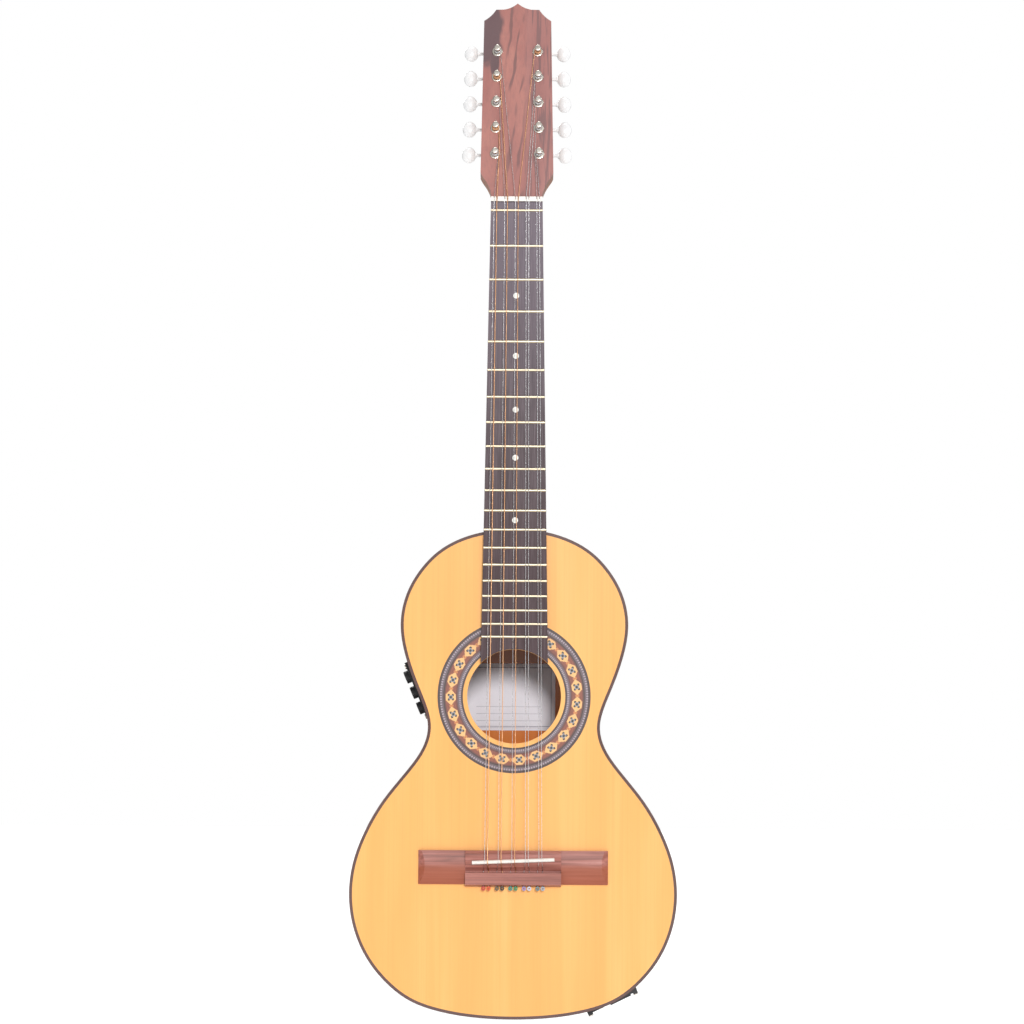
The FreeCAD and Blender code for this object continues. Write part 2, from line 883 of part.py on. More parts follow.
def tie_x(index):
    """The strings of a pair spread a little from the saddle to their holes."""
    pair = index % 2 - 0.5
    return string_x(index, saddle_centre_z()) + pair * (pair_spacing_tie - pair_spacing_saddle)


def tie_hole(index):
    x = tie_x(index)
    start = V(x, -tie_hole_height, tie_front_z() + overrun / 2)
    return rod(tie_hole_diameter / 2, start, V(x, -tie_hole_height, bridge_rear_z - block_rear_slope))


# Strings

def string_x(index, z):
    """Sideways place of a string: it runs straight from the nut to the bridge."""
    course, second = divmod(index, 2)
    middle = (len(string_diameters) / 2 - 1) / 2.0
    step = course - middle
    pair = second - 0.5
    at_nut = step * course_spacing_nut + pair * pair_spacing_nut
    at_saddle = step * course_spacing_saddle + pair * pair_spacing_saddle
    share = (zero_fret_z - z) / (zero_fret_z - saddle_centre_z())
    return at_nut + (at_saddle - at_nut) * share


def tuner_of(index):
    """Side and place in the row of the machine that a string winds on."""
    if index < tuner_count:
        return -1, index
    return 1, 2 * tuner_count - 1 - index


def tuner_matrix(row):
    """Frame of a treble-side machine: x to the button, y to the head's tip, z out of its face."""
    tilt = math.radians(tuner_row_tilt)
    along = tuner_first + tuner_pitch * row
    x = tuner_row_half - (along - tuner_first) * math.tan(tilt)
    ex = axis_x * math.cos(tilt) + head_up * math.sin(tilt)
    ey = head_up * math.cos(tilt) - axis_x * math.sin(tilt)
    return frame_at(head_point(x, along, 0), ex, ey, head_back * -1)


def to_side(shape, side):
    return shape if side > 0 else shape.mirror(origin, axis_x)


def tuner_point(side, row, x, y, z):
    point = tuner_matrix(row).multVec(V(x, y, z))
    return V(side * point.x, point.y, point.z)


def biarc(p0, t0, p1, t1):
    """Two arcs that leave p0 along t0, meet smoothly, and reach p1 along t1."""
    chord = p1 - p0
    total = t0 + t1
    a = 2 * (1 - t0.dot(t1))
    b = chord.dot(total)
    c = chord.dot(chord)
    reach = c / (b + math.sqrt(b * b + a * c))
    first = p0 + t0 * reach
    second = p1 - t1 * reach
    joint = (first + second) * 0.5
    return [corner_arc(p0, first, joint), corner_arc(joint, second, p1)]


def corner_arc(start, corner, end):
    """Arc from start to end whose end tangents meet at corner."""
    leg = (corner - start).normalize()
    chord = (end - start).normalize()
    weight = leg.dot(chord)
    middle = (start + corner * (2 * weight) + end) * (1 / (2 + 2 * weight))
    if weight > 1 - 1e-9:
        return Part.makeLine(start, end)
    return Part.Arc(start, middle, end).toShape()


def tube(edges, diameter):
    path = Part.Wire(edges)
    start = edges[0].valueAt(edges[0].FirstParameter)
    direction = edges[0].tangentAt(edges[0].FirstParameter)
    profile = Part.Wire([Part.Circle(start, direction, diameter / 2).toShape()])
    solid = path.makePipeShell([profile], True, False)
    expected = math.pi * diameter ** 2 / 4 * path.Length
    if abs(solid.Volume / expected - 1) > 0.01 or not solid.isValid():
        print("check tube: volume", solid.Volume, "expected", expected, "valid", solid.isValid())
    return solid


def bend_edges(points, radii):
    """Straight runs with a tangent arc of each radius at the inner points."""
    edges = []
    last = points[0]
    for index in range(1, len(points) - 1):
        before = (points[index] - points[index - 1]).normalize()
        after = (points[index + 1] - points[index]).normalize()
        half_turn = before.getAngle(after) / 2
        reach = radii[index - 1] * math.tan(half_turn)
        start = points[index] - before * reach
        end = points[index] + after * reach
        edges.append(Part.makeLine(last, start))
        edges.append(corner_arc(start, points[index], end))
        last = end
    edges.append(Part.makeLine(last, points[-1]))
    return edges


def winding_station(index, turn):
    """Point and direction on a string's winding, after a number of turns round its post."""
    side, row = tuner_of(index)
    diameter = string_diameters[index]
    radius = post_groove_diameter / 2 + diameter / 2 + string_lift
    pitch = diameter + winding_gap
    angle = math.pi - 2 * math.pi * turn
    height = winding_height(index) + pitch * turn
    local = V(radius * math.cos(angle), radius * math.sin(angle), height)
    ahead = V(radius * math.sin(angle), -radius * math.cos(angle), pitch / (2 * math.pi))
    place = tuner_point(side, row, local.x, local.y, local.z)
    tip = tuner_point(side, row, local.x + ahead.x, local.y + ahead.y, local.z + ahead.z)
    return place, (tip - place).normalize()


def winding_turns(index):
    return winding_turns_wound if index in wound_strings else winding_turns_plain


def winding_height(index):
    return post_groove_start + string_diameters[index] / 2 + string_lift


def winding_edges(index, place, direction):
    """Quarter turns round the post, starting from the end of the straight run."""
    edges = []
    for quarter in range(4 * winding_turns(index) + 1):
        after, heading = winding_station(index, quarter / 4.0)
        edges.extend(biarc(place, direction, after, heading))
        place, direction = after, heading
    return edges


def least_gap(index):
    """Smallest clear distance between turns, measured on points along the winding."""
    steps = 24
    count = winding_turns(index) * steps + 1
    points = [winding_station(index, step / float(steps))[0] for step in range(count)]
    gaps = []
    for first in range(len(points)):
        for second in range(first + steps // 2, len(points)):
            gaps.append((points[first] - points[second]).Length)
    return min(gaps) - string_diameters[index]


def rubbing_point(index):
    """A string that would touch the lowest post's winding goes round it just clear."""
    side, row = tuner_of(index)
    if row != 1:
        return []
    neighbour = index + 1 if side > 0 else index - 1
    reach = (post_groove_diameter / 2 + string_diameters[neighbour] + string_diameters[index] / 2 + free_gap)
    bend = tuner_point(side, 0, -reach, 0, post_groove_start + string_diameters[index])
    return [bend]


def raised(corner, before, after):
    """Lift a bend's corner so that its arc, not its corner, clears what it goes over."""
    half_turn = (corner - before).getAngle(after - corner) / 2
    return corner - axis_y * (string_bend_radius * (1 / math.cos(half_turn) - 1) / math.cos(half_turn))


def over_crown(centre, before, after, radius):
    """Corner of a string that lies round a crown, so that its arc has the crown's centre."""
    corner = centre - axis_y * radius
    for _ in range(3):
        along = (corner - before).normalize()
        onward = (after - corner).normalize()
        half_turn = along.getAngle(onward) / 2
        corner = centre + (along - onward).normalize() * (radius / math.cos(half_turn))
    return corner


def string_ends(index):
    """Corners of a string's route from its ball to its rise to the saddle."""
    return [V(tie_x(index), -tie_hole_height, ball_z() + ball_diameter / 2),
            V(tie_x(index), -tie_hole_height, tie_front_z() + string_bend_reach)]


def make_string(index):
    lift = string_diameters[index] / 2 + string_lift
    ball_end, tie_corner = string_ends(index)
    fret_corner = V(string_x(index, zero_fret_z), string_plane_y - lift, zero_fret_z)
    nut_corner = V(string_x(index, -nut_thickness / 2), string_plane_y - lift, -nut_thickness / 2)
    x_saddle = string_x(index, saddle_centre_z())
    crown = V(x_saddle, -saddle_crown_height + saddle_thickness / 2, saddle_z(x_saddle))
    saddle_radius = saddle_thickness / 2 + lift
    saddle_corner = over_crown(crown, tie_corner, fret_corner, saddle_radius)
    posts = rubbing_point(index)
    contact = winding_station(index, 0)[0]
    before = (contact - (posts + [nut_corner])[0]).normalize()
    run_end = contact - before * (2 * post_groove_diameter)
    onward = posts + [run_end]
    nut_corner = raised(nut_corner, fret_corner, onward[0])
    fret_corner = raised(fret_corner, saddle_corner, nut_corner)
    points = [ball_end, tie_corner, saddle_corner, fret_corner, nut_corner] + onward
    radii = [string_tie_bend_radius, saddle_radius, string_bend_radius, string_bend_radius]
    edges = bend_edges(points, radii + [8 * string_bend_radius] * len(posts))
    edges.extend(winding_edges(index, run_end, (run_end - points[-2]).normalize()))
    return tube(edges, string_diameters[index])


def ball_z():
    """The balls rest against the block's sloping rear, where their lower rims touch it."""
    rim_share = (tie_height - tie_hole_height + ball_length / 2) / tie_height
    return bridge_rear_z - block_rear_slope * rim_share - ball_diameter / 2


def make_ball(index):
    centre = V(tie_x(index), -tie_hole_height, ball_z())
    front = centre - axis_y * (ball_length / 2)
    back = centre + axis_y * (ball_length / 2)
    return rod(ball_diameter / 2, front, back).cut(rod(ball_bore / 2, front, back))


def make_strings():
    plain = []
    wound = []
    for index in range(len(string_diameters)):
        solid = make_string(index)
        turns = winding_turns(index)
        print("string %d: winding of %d turns, least gap %.3f mm" % (index + 1, turns, least_gap(index)))
        (wound if index in wound_strings else plain).append(solid)
    return group(plain), group(wound)


# Tuning machines, built on the treble side and mirrored for the bass side

def post_holes(radius, front, back):
    """Bores through the head at every post, from front to back behind the veneer's glue face."""
    holes = []
    for side in (-1, 1):
        for row in range(tuner_count):
            hole = placed(rod(radius, V(0, 0, -front), V(0, 0, -back)), tuner_matrix(row))
            holes.append(to_side(hole, side))
    return holes


def post_hole_height():
    return post_groove_start + post_groove_length - post_hole_diameter


def post_body():
    bottom = -worm_depth - wheel_thickness / 2
    radius = post_diameter / 2
    stem = rod(radius, V(0, 0, bottom), V(0, 0, post_height))
    rounding = [edge for edge in stem.Edges if abs(edge.BoundBox.ZMin - post_height) < 1e-6]
    stem = stem.makeFillet(post_cap_round, rounding[:1])
    groove_end = post_groove_start + post_groove_length
    groove = rod(radius + overrun, V(0, 0, post_groove_start), V(0, 0, groove_end))
    groove = groove.cut(rod(post_groove_diameter / 2, V(0, 0, 0), V(0, 0, post_height)))
    height = post_hole_height()
    hole = rod(post_hole_diameter / 2, V(0, -radius * 2, height), V(0, radius * 2, height))
    screw = rod(gear_screw_diameter / 2, V(0, 0, bottom - overrun), V(0, 0, bottom + gear_screw_length))
    return stem.cut([groove, hole, screw])


def wheel_body():
    root = wheel_pitch_radius - tooth_dedendum
    tip = wheel_pitch_radius + tooth_addendum
    points = []
    for tooth in range(wheel_teeth):
        middle = math.pi / 2 + 2 * math.pi * tooth / wheel_teeth
        for radius, half in ((root, -tooth_root_width), (tip, -tooth_tip_width), (tip, tooth_tip_width),
                             (root, tooth_root_width)):
            angle = middle + half / 2 / radius
            points.append(V(radius * math.cos(angle), radius * math.sin(angle), 0))
    bottom = -worm_depth - wheel_thickness / 2
    blank = polygon_face(points).extrude(V(0, 0, wheel_thickness))
    blank.translate(V(0, 0, bottom))
    seat = rod(post_diameter / 2, V(0, 0, bottom - overrun), V(0, 0, bottom + 2 * wheel_thickness))
    return blank.cut(seat)


def gear_screw_body():
    bottom = -worm_depth - wheel_thickness / 2
    head = rod(gear_screw_head / 2, V(0, 0, bottom - gear_screw_head_height), V(0, 0, bottom))
    shank = rod(gear_screw_diameter / 2, V(0, 0, bottom), V(0, 0, bottom + gear_screw_length))
    low = bottom - gear_screw_head_height - overrun
    half = screw_slot_width / 2
    slot = box(V(-gear_screw_head, -half, low), V(gear_screw_head, half, low + overrun + screw_slot_depth))
    return head.fuse(shank).cut(slot).removeSplitter()


def string_tail(diameter):
    """The cut end of the string, in the post's hole and a little past it."""
    radius = post_groove_diameter / 2
    height = post_hole_height()
    return rod(diameter / 2, V(0, -radius, height), V(0, radius + post_tail_length, height))


def make_post(index):
    side, row = tuner_of(index)
    solids = [post_body(), wheel_body(), gear_screw_body(), string_tail(string_diameters[index])]
    return group([to_side(placed(solid, tuner_matrix(row)), side) for solid in solids])


def worm_thread():
    """Right-handed thread round Z, its turns half a pitch either side of the middle."""
    pitch = 2 * math.pi * wheel_pitch_radius / wheel_teeth
    root = worm_pitch_radius - tooth_dedendum
    low = -thread_turns * pitch / 2
    helix = Part.makeHelix(pitch, thread_turns * pitch, worm_pitch_radius)
    helix.translate(V(0, 0, low))
    sunk = root - tooth_dedendum / 2
    points = [V(sunk, 0, low - thread_root_width / 2), V(worm_outer_radius, 0, low - thread_tip_width / 2),
              V(worm_outer_radius, 0, low + thread_tip_width / 2), V(sunk, 0, low + thread_root_width / 2)]
    profile = Part.makePolygon(points + [points[0]])
    return Part.Wire(helix.Edges).makePipeShell([profile], True, True), -low + thread_root_width / 2


def spindle_end():
    return button_offset - button_length / 2 + ferrule_length


def worm_body():
    thread, reach = worm_thread()
    core_half = reach + worm_end_length
    core = rod(worm_pitch_radius - tooth_dedendum, V(0, 0, -core_half), V(0, 0, core_half))
    inner = -core_half - lug_gap - lug_thickness - lug_gap
    spindle = rod(spindle_diameter / 2, V(0, 0, inner), V(0, 0, spindle_end()))
    ferrule_start = button_offset - button_length / 2 - ferrule_length / 2
    ferrule = rod(ferrule_diameter / 2, V(0, 0, ferrule_start), V(0, 0, ferrule_start + ferrule_length))
    worm = fuse_all([core, thread, spindle, ferrule])
    facing = frame_at(V(0, worm_distance, -worm_depth), V(0, -1, 0), V(0, 0, -1), axis_x)
    return placed(worm, facing), core_half


def button_body():
    ball = Part.makeSphere(1.0)
    shape = FreeCAD.Matrix(button_length / 2, 0, 0, 0, 0, button_width / 2, 0, 0,
                           0, 0, button_thickness / 2, 0, 0, 0, 0, 1)
    button = ball.transformGeometry(shape)
    button.translate(V(button_offset, worm_distance, -worm_depth))
    return button


def make_worms():
    """Button and worm of each machine, in the order of the strings."""
    worm, core_half = worm_body()
    button = button_body().cut(worm)
    nodes = []
    for index in range(2 * tuner_count):
        side, row = tuner_of(index)
        nodes.append(group([to_side(placed(solid, tuner_matrix(row)), side) for solid in (worm, button)]))
    return nodes, core_half


def lug(x, thickness):
    low = V(x, worm_distance - lug_width / 2, -worm_depth)
    block = box(low, V(x + thickness, worm_distance + lug_width / 2, -plate_back))
    end = rod(lug_width / 2, V(x, worm_distance, -worm_depth), V(x + thickness, worm_distance, -worm_depth))
    bore = rod(spindle_diameter / 2 + running_gap, V(x - overrun, worm_distance, -worm_depth),
               V(x + thickness + overrun, worm_distance, -worm_depth))
    return block.fuse(end).cut(bore)


def screw_places():
    """Screws lie between the machines and past both ends of the row, on the plate's middle."""
    middle = (plate_outer_reach - plate_inner_reach) / 2
    first = -plate_end_reach + worm_distance / 2 + screw_head_diameter
    between = worm_distance + worm_outer_radius + screw_head_diameter / 2 + free_gap
    last = tuner_pitch * (tuner_count - 1) + plate_end_reach - screw_head_diameter / 2 - free_gap
    return [(middle, first)] + [(middle, between + tuner_pitch * row) for row in range(tuner_count - 1)] + [
        (middle, last)]


def make_tuner_plate(core_half):
    last = tuner_pitch * (tuner_count - 1)
    low = V(-plate_inner_reach, -plate_end_reach + worm_distance / 2, -plate_back)
    high = V(plate_outer_reach, last + plate_end_reach, -head_thickness)
    plate = box(low, high)
    lugs = []
    holes = []
    for row in range(tuner_count):
        shift = V(0, row * tuner_pitch, 0)
        inner = lug(-core_half - lug_gap - lug_thickness, lug_thickness)
        outer = lug(core_half + lug_gap, lug_thickness)
        inner.translate(shift)
        outer.translate(shift)
        lugs.extend([inner, outer])
        top = V(0, shift.y, -head_thickness + overrun)
        holes.append(rod(post_diameter / 2 + running_gap, top, V(0, shift.y, -plate_back - overrun)))
    for x, y in screw_places():
        top = V(x, y, -head_thickness + overrun)
        holes.append(rod(screw_diameter / 2, top, V(x, y, -plate_back - overrun)))
    return fuse_all([plate] + lugs).cut(holes)


def make_screw():
    """A slotted round-head wood screw: the head's underside is at 0, the shank runs along +Z."""
    head = rod(screw_head_diameter / 2, V(0, 0, -screw_head_height), V(0, 0, 0))
    shank = rod(screw_diameter / 2, V(0, 0, 0), V(0, 0, screw_length))
    half = screw_slot_width / 2
    low = V(-screw_head_diameter, -half, -screw_head_height - overrun)
    slot = box(low, V(screw_head_diameter, half, -screw_head_height + screw_slot_depth))
    return head.fuse(shank).cut(slot).removeSplitter()


def tuner_screw_matrices():
    matrices = []
    for x, y in screw_places():
        matrices.append(tuner_matrix(0).multiply(frame_at(V(x, y, -plate_back), axis_x, axis_y, axis_z)))
    return matrices


def tuner_screw_shanks():
    shank = rod(screw_diameter / 2, V(0, 0, 0), V(0, 0, screw_length))
    return [to_side(placed(shank, matrix), side) for matrix in tuner_screw_matrices() for side in (-1, 1)]


def make_screws():
    """Every small screw: those of the tuner plates, the preamp panel and the end plate."""
    screw = make_screw()
    screws = [to_side(placed(screw, matrix), side) for matrix in tuner_screw_matrices() for side in (-1, 1)]
    panels = ((preamp_frame(), preamp_screw_places(), preamp_proud),
              (end_frame(), end_screw_places(), end_plate_proud + end_lip_height))
    for frame, places, height in panels:
        for x, y in places:
            seat = frame_at(V(x, y, height), axis_x, axis_y * -1, axis_z * -1)
            screws.append(placed(screw, frame.multiply(seat)))
    return group(screws)


def make_bushings():
    radius = post_diameter / 2 + running_gap
    top = veneer_thickness + flange_thickness
    sleeve = rod(bushing_diameter / 2, V(0, 0, -bushing_depth), V(0, 0, veneer_thickness))
    flange = rod(flange_diameter / 2, V(0, 0, veneer_thickness), V(0, 0, top))
    rims = [edge for edge in flange.Edges if abs(edge.BoundBox.ZMin - top) < 1e-6]
    flange = flange.makeFillet(flange_thickness / 2, rims[:1])
    bore = rod(radius, V(0, 0, -bushing_depth - overrun), V(0, 0, top + overrun))
    bushing = sleeve.fuse(flange).cut(bore).removeSplitter()
    bushings = []
    for side in (-1, 1):
        for row in range(tuner_count):
            bushings.append(to_side(placed(bushing, tuner_matrix(row)), side))
    return group(bushings)


# Preamp and end plate: frames with x along the side to the tail, y across it and z out of the body

def outline_x(z):
    line = Part.makeLine(V(0, 0, z), V(lower_bout_width, 0, z))
    return line.section(outline_curve().toShape()).Vertexes[0].X


def side_frame(side, drop):
    """Frame tangent to the side wall, x running towards the tail."""
    z = body_top_z - drop
    curve = outline_curve()
    place = V(outline_x(z), 0, z)
    ex = curve.tangent(curve.parameter(place))[0]
    ex = ex if ex.z < 0 else ex * -1
    ez = V(-ex.z, 0, ex.x)
    centre_y = (binding_depth + back_y(place.x, z, binding_depth)) / 2
    ex = V(side * ex.x, 0, ex.z)
    ez = V(side * ez.x, 0, ez.z)
    return frame_at(V(side * place.x, centre_y, z), ex, ez.cross(ex), ez)


def preamp_frame():
    return side_frame(-1, preamp_drop)


def end_frame():
    return side_frame(1, end_plate_drop)


def local_box(frame, x, y, z_low, z_high, centre=0):
    return placed(box(V(centre - x / 2, -y / 2, z_low), V(centre + x / 2, y / 2, z_high)), frame)


def preamp_opening():
    return local_box(preamp_frame(), preamp_box_length, preamp_box_width, -preamp_box_depth, preamp_proud)


def make_preamp_panel():
    body = outline_prism(0, -overrun, deep + overrun)
    plate = local_box(preamp_frame(), preamp_length, preamp_width, -binding_depth, preamp_proud)
    plate = plate.cut(body)
    neck = local_box(preamp_frame(), preamp_box_length, preamp_box_width, -side_thickness, preamp_proud / 2)
    holes = knob_holes() + preamp_screw_holes()
    return plate.fuse(neck).removeSplitter().cut(holes)


def knob_places():
    return [(index - (knob_count - 1) / 2.0) * knob_pitch for index in range(knob_count)]


def knob_holes():
    radius = knob_shaft_diameter / 2 + running_gap
    holes = []
    for x in knob_places():
        hole = rod(radius, V(x, 0, -preamp_box_depth / 2), V(x, 0, preamp_proud + overrun))
        holes.append(placed(hole, preamp_frame()))
    return holes


def corner_places(reach, across):
    return [(x, y) for x in (-reach, reach) for y in (-across, across)]


def preamp_screw_places():
    return corner_places(preamp_length / 2 - preamp_screw_inset, preamp_width / 2 - preamp_screw_inset)


def end_screw_places():
    """The end plate's screws go through its raised lips."""
    return corner_places((end_plate_length - end_lip_length) / 2, end_plate_width / 2 - end_screw_inset)


def screw_holes(frame, places):
    return [placed(rod(screw_diameter / 2, V(x, y, -screw_length), V(x, y, screw_length)), frame)
            for x, y in places]


def preamp_screw_holes():
    return screw_holes(preamp_frame(), preamp_screw_places())


def end_screw_holes():
    return screw_holes(end_frame(), end_screw_places())


def make_preamp_box():
    """Open box behind the panel, and the circuit board that it holds."""
    frame = preamp_frame()
    outer = local_box(frame, preamp_box_length, preamp_box_width, -preamp_box_depth, -side_thickness)
    inner = local_box(frame, preamp_box_length - 2 * preamp_wall, preamp_box_width - 2 * preamp_wall,
                      -preamp_box_depth + preamp_wall, -side_thickness + overrun)
    level = -preamp_box_depth * board_level_share
    board = local_box(frame, preamp_box_length - 2 * preamp_wall, preamp_box_width - 2 * preamp_wall,
                      level, level + circuit_thickness)
    return group([outer.cut(inner), board])


def make_knob(place_x):
    """Round knob with a pointer groove, on the shaft that enters the box."""
    base = preamp_proud + knob_gap
    top = base + knob_height
    cap = rod(knob_diameter / 2, V(0, 0, base), V(0, 0, top))
    rims = [edge for edge in cap.Edges if abs(edge.BoundBox.ZMin - top) < 1e-6]
    cap = cap.makeFillet(knob_height / 8, rims[:1])
    shaft_end = -preamp_box_depth * board_level_share + circuit_thickness + free_gap
    shaft = rod(knob_shaft_diameter / 2, V(0, 0, shaft_end), V(0, 0, base))
    half = knob_line_width / 2
    line = box(V(-knob_diameter / 2 - overrun, -half, top - knob_line_depth), V(0, half, top + overrun))
    knob = cap.fuse(shaft).cut(line).removeSplitter()
    knob.translate(V(place_x, 0, 0))
    return placed(knob, preamp_frame())


def end_opening():
    frame = end_frame()
    well_x = drawer_length + 2 * (drawer_gap + well_wall)
    well_y = drawer_width + 2 * (drawer_gap + well_wall)
    well = local_box(frame, well_x, well_y, -drawer_depth, end_plate_proud, drawer_offset)
    return well.fuse(jack_hole())


def jack_hole():
    back = V(jack_offset, 0, -jack_length)
    return placed(rod(jack_barrel_diameter / 2, back, V(jack_offset, 0, end_plate_proud)), end_frame())


def make_end_plate():
    """Plate with raised lips at its ends, and the well that the drawer slides in."""
    frame = end_frame()
    body = outline_prism(0, -overrun, deep + overrun)
    plate = local_box(frame, end_plate_length, end_plate_width, -2 * binding_depth, end_plate_proud)
    top = end_plate_proud + end_lip_height
    lips = []
    for sign in (-1, 1):
        x = sign * (end_plate_length - end_lip_length) / 2
        lips.append(local_box(frame, end_lip_length, end_plate_width, 0, top, x).cut(body))
    plate = plate.cut(body)
    well_x = drawer_length + 2 * (drawer_gap + well_wall)
    well_y = drawer_width + 2 * (drawer_gap + well_wall)
    floor = -drawer_depth - drawer_gap - well_wall
    well = local_box(frame, well_x, well_y, floor, end_plate_proud, drawer_offset)
    space = local_box(frame, drawer_length + 2 * drawer_gap, drawer_width + 2 * drawer_gap,
                      -drawer_depth - drawer_gap, end_plate_proud + overrun, drawer_offset)
    return fuse_all([plate, well] + lips).cut([space, jack_hole()] + end_screw_holes())


def make_drawer():
    """Battery tray: a face, a floor, two ends and two long cheeks, open on one side."""
    frame = end_frame()
    tray = local_box(frame, drawer_length, drawer_width, -drawer_depth, end_plate_proud, drawer_offset)
    face = local_box(frame, drawer_length, drawer_width, end_plate_proud - drawer_wall,
                     end_plate_proud + drawer_face_height, drawer_offset)
    front = end_plate_proud - drawer_wall
    bottom = -drawer_depth + drawer_wall
    room = local_box(frame, drawer_length, drawer_width - 2 * drawer_wall, bottom, front,
                     drawer_offset + drawer_wall)
    notch = end_plate_proud + drawer_notch_depth
    grip = local_box(frame, drawer_length + overrun, drawer_notch_width, notch,
                     end_plate_proud + drawer_face_height + overrun, drawer_offset)
    return tray.fuse(face).removeSplitter().cut([room, grip])


def make_battery():
    """Rectangular battery with its two terminals at the inner end of the drawer."""
    front = end_plate_proud - drawer_wall - free_gap
    low = V(drawer_offset - drawer_length / 2 + drawer_wall, -battery_width / 2, front - battery_length)
    block = box(low, low + V(battery_thickness, battery_width, battery_length))
    middle_x = low.x + battery_thickness / 2
    terminals = []
    for sign in (-1, 1):
        foot = V(middle_x, sign * battery_width / 4, low.z)
        terminals.append(rod(battery_terminal_diameter / 2, foot - axis_z * battery_terminal_height, foot))
    return placed(fuse_all([block] + terminals), end_frame())


def make_jack():
    """Output socket: barrel through the plate, and the nut that holds it."""
    back = V(jack_offset, 0, -jack_length)
    front = V(jack_offset, 0, end_plate_proud)
    top = front + axis_z * jack_nut_height
    barrel = rod(jack_barrel_diameter / 2, back, top)
    points = []
    for corner in range(6):
        angle = math.pi * corner / 3
        points.append(front + V(math.cos(angle), math.sin(angle), 0) * (jack_nut_diameter / 2))
    nut = polygon_face(points).extrude(axis_z * (jack_nut_height - screw_slot_depth))
    bore = rod(jack_bore_diameter / 2, back + axis_z * (2 * overrun), top + axis_z * overrun)
    return placed(barrel.fuse(nut).cut(bore).removeSplitter(), end_frame())


# Leads, made whole along their clips and walls

def lead_radii(points):
    """Each bend as large as its two runs allow."""
    radii = []
    for index in range(1, len(points) - 1):
        before = points[index] - points[index - 1]
        after = points[index + 1] - points[index]
        half_turn = before.getAngle(after) / 2
        radii.append(0.45 * min(before.Length, after.Length) / math.tan(half_turn))
    return radii


def make_lead(name, points):
    radii = lead_radii(points)
    print("lead", name, "radii", ["%.1f" % radius for radius in radii])
    return tube(bend_edges(points, radii), lead_diameter)


def make_leads():
    """Pickup lead from the saddle up to the preamp, and output lead from there to the jack."""
    preamp = preamp_frame()
    foot = preamp_box_length / 2
    apart = preamp_box_width / 3
    middle = -preamp_box_depth / 2
    box_foot = preamp.multVec(V(foot, 0, middle))
    below_box = preamp.multVec(V(foot + lead_stub, 0, middle))
    start = lead_top()
    under = start + axis_y * (2 * lead_stub)
    pickup = [start, under, V(-46, 46, -570), V(-62, 47, -535), below_box, box_foot]
    output_foot = preamp.multVec(V(foot, -apart, middle))
    output_below = preamp.multVec(V(foot + lead_stub, -apart, middle))
    end = end_frame()
    jack_tail = end.multVec(V(jack_offset, 0, -jack_length))
    behind_jack = end.multVec(V(jack_offset, 0, -jack_length - lead_stub))
    output = [output_foot, output_below, V(-56, 58, -522), V(-34, 63, -574), V(-2, 63, -618),
              V(32, 58, -654), behind_jack, jack_tail]
    return group([make_lead("pickup", pickup), make_lead("output", output)])


def export_body():
    bindings = make_bindings()
    export("bindings", group(bindings))
    export("soundboard", make_soundboard())
    export("rosette", make_rosette())
    export("back_plate", make_back_plate())
    bass, treble = make_sides()
    export("side_bass", bass)
    export("side_treble", treble)
    export("linings", make_linings(bindings))
    neck_block, tail_block = make_blocks(bindings)
    export("neck_block", neck_block)
    export("tail_block", tail_block)
    bridge_plate = make_bridge_plate()
    export("bridge_plate", bridge_plate)
    export("top_braces", make_top_braces(bridge_plate))
    export("back_braces", make_back_braces())
    export("label", make_label())


def export_neck():
    export("neck", make_neck(tuner_screw_shanks()))
    export("heel_cap", make_heel_cap())
    export("neck_rod", rod_box())
    export("head_veneer", make_head_veneer())
    export("fingerboard", make_fingerboard())
    export("frets", group([make_fret(z) for z in fret_places()]))
    export("position_dots", group([make_dot(number) for number in dot_frets]))
    export("nut", make_nut())


def export_bridge_and_strings():
    export("bridge", make_bridge())
    export("saddle", make_saddle())
    export("piezo_pickup", make_piezo())
    plain, wound = make_strings()
    export("strings_plain", plain)
    export("strings_wound", wound)
    export("string_balls", group([make_ball(index) for index in range(len(string_diameters))]))


def export_tuners():
    worms, core_half = make_worms()
    for index, worm in enumerate(worms):
        export("tuner_button_%d" % (index + 1), worm)
        export("string_post_%d" % (index + 1), make_post(index))
    plate = placed(make_tuner_plate(core_half), tuner_matrix(0))
    export("tuner_plates", group([to_side(plate, side) for side in (-1, 1)]))
    export("post_bushings", make_bushings())
    export("small_screws", make_screws())


def export_electrics():
    export("preamp_panel", make_preamp_panel())
    export("preamp_box", make_preamp_box())
    for number, x in enumerate(knob_places()):
        export("preamp_knob_%d" % (number + 1), make_knob(x))
    export("end_plate", make_end_plate())
    export("battery_drawer", make_drawer())
    export("battery", make_battery())
    export("jack_socket", make_jack())
    export("pickup_leads", make_leads())


os.makedirs("parts", exist_ok=True)
export_body()
export_neck()
export_bridge_and_strings()
export_tuners()
export_electrics()
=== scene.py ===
import json
import math

import bmesh
import bpy
from mathutils import Matrix, Vector


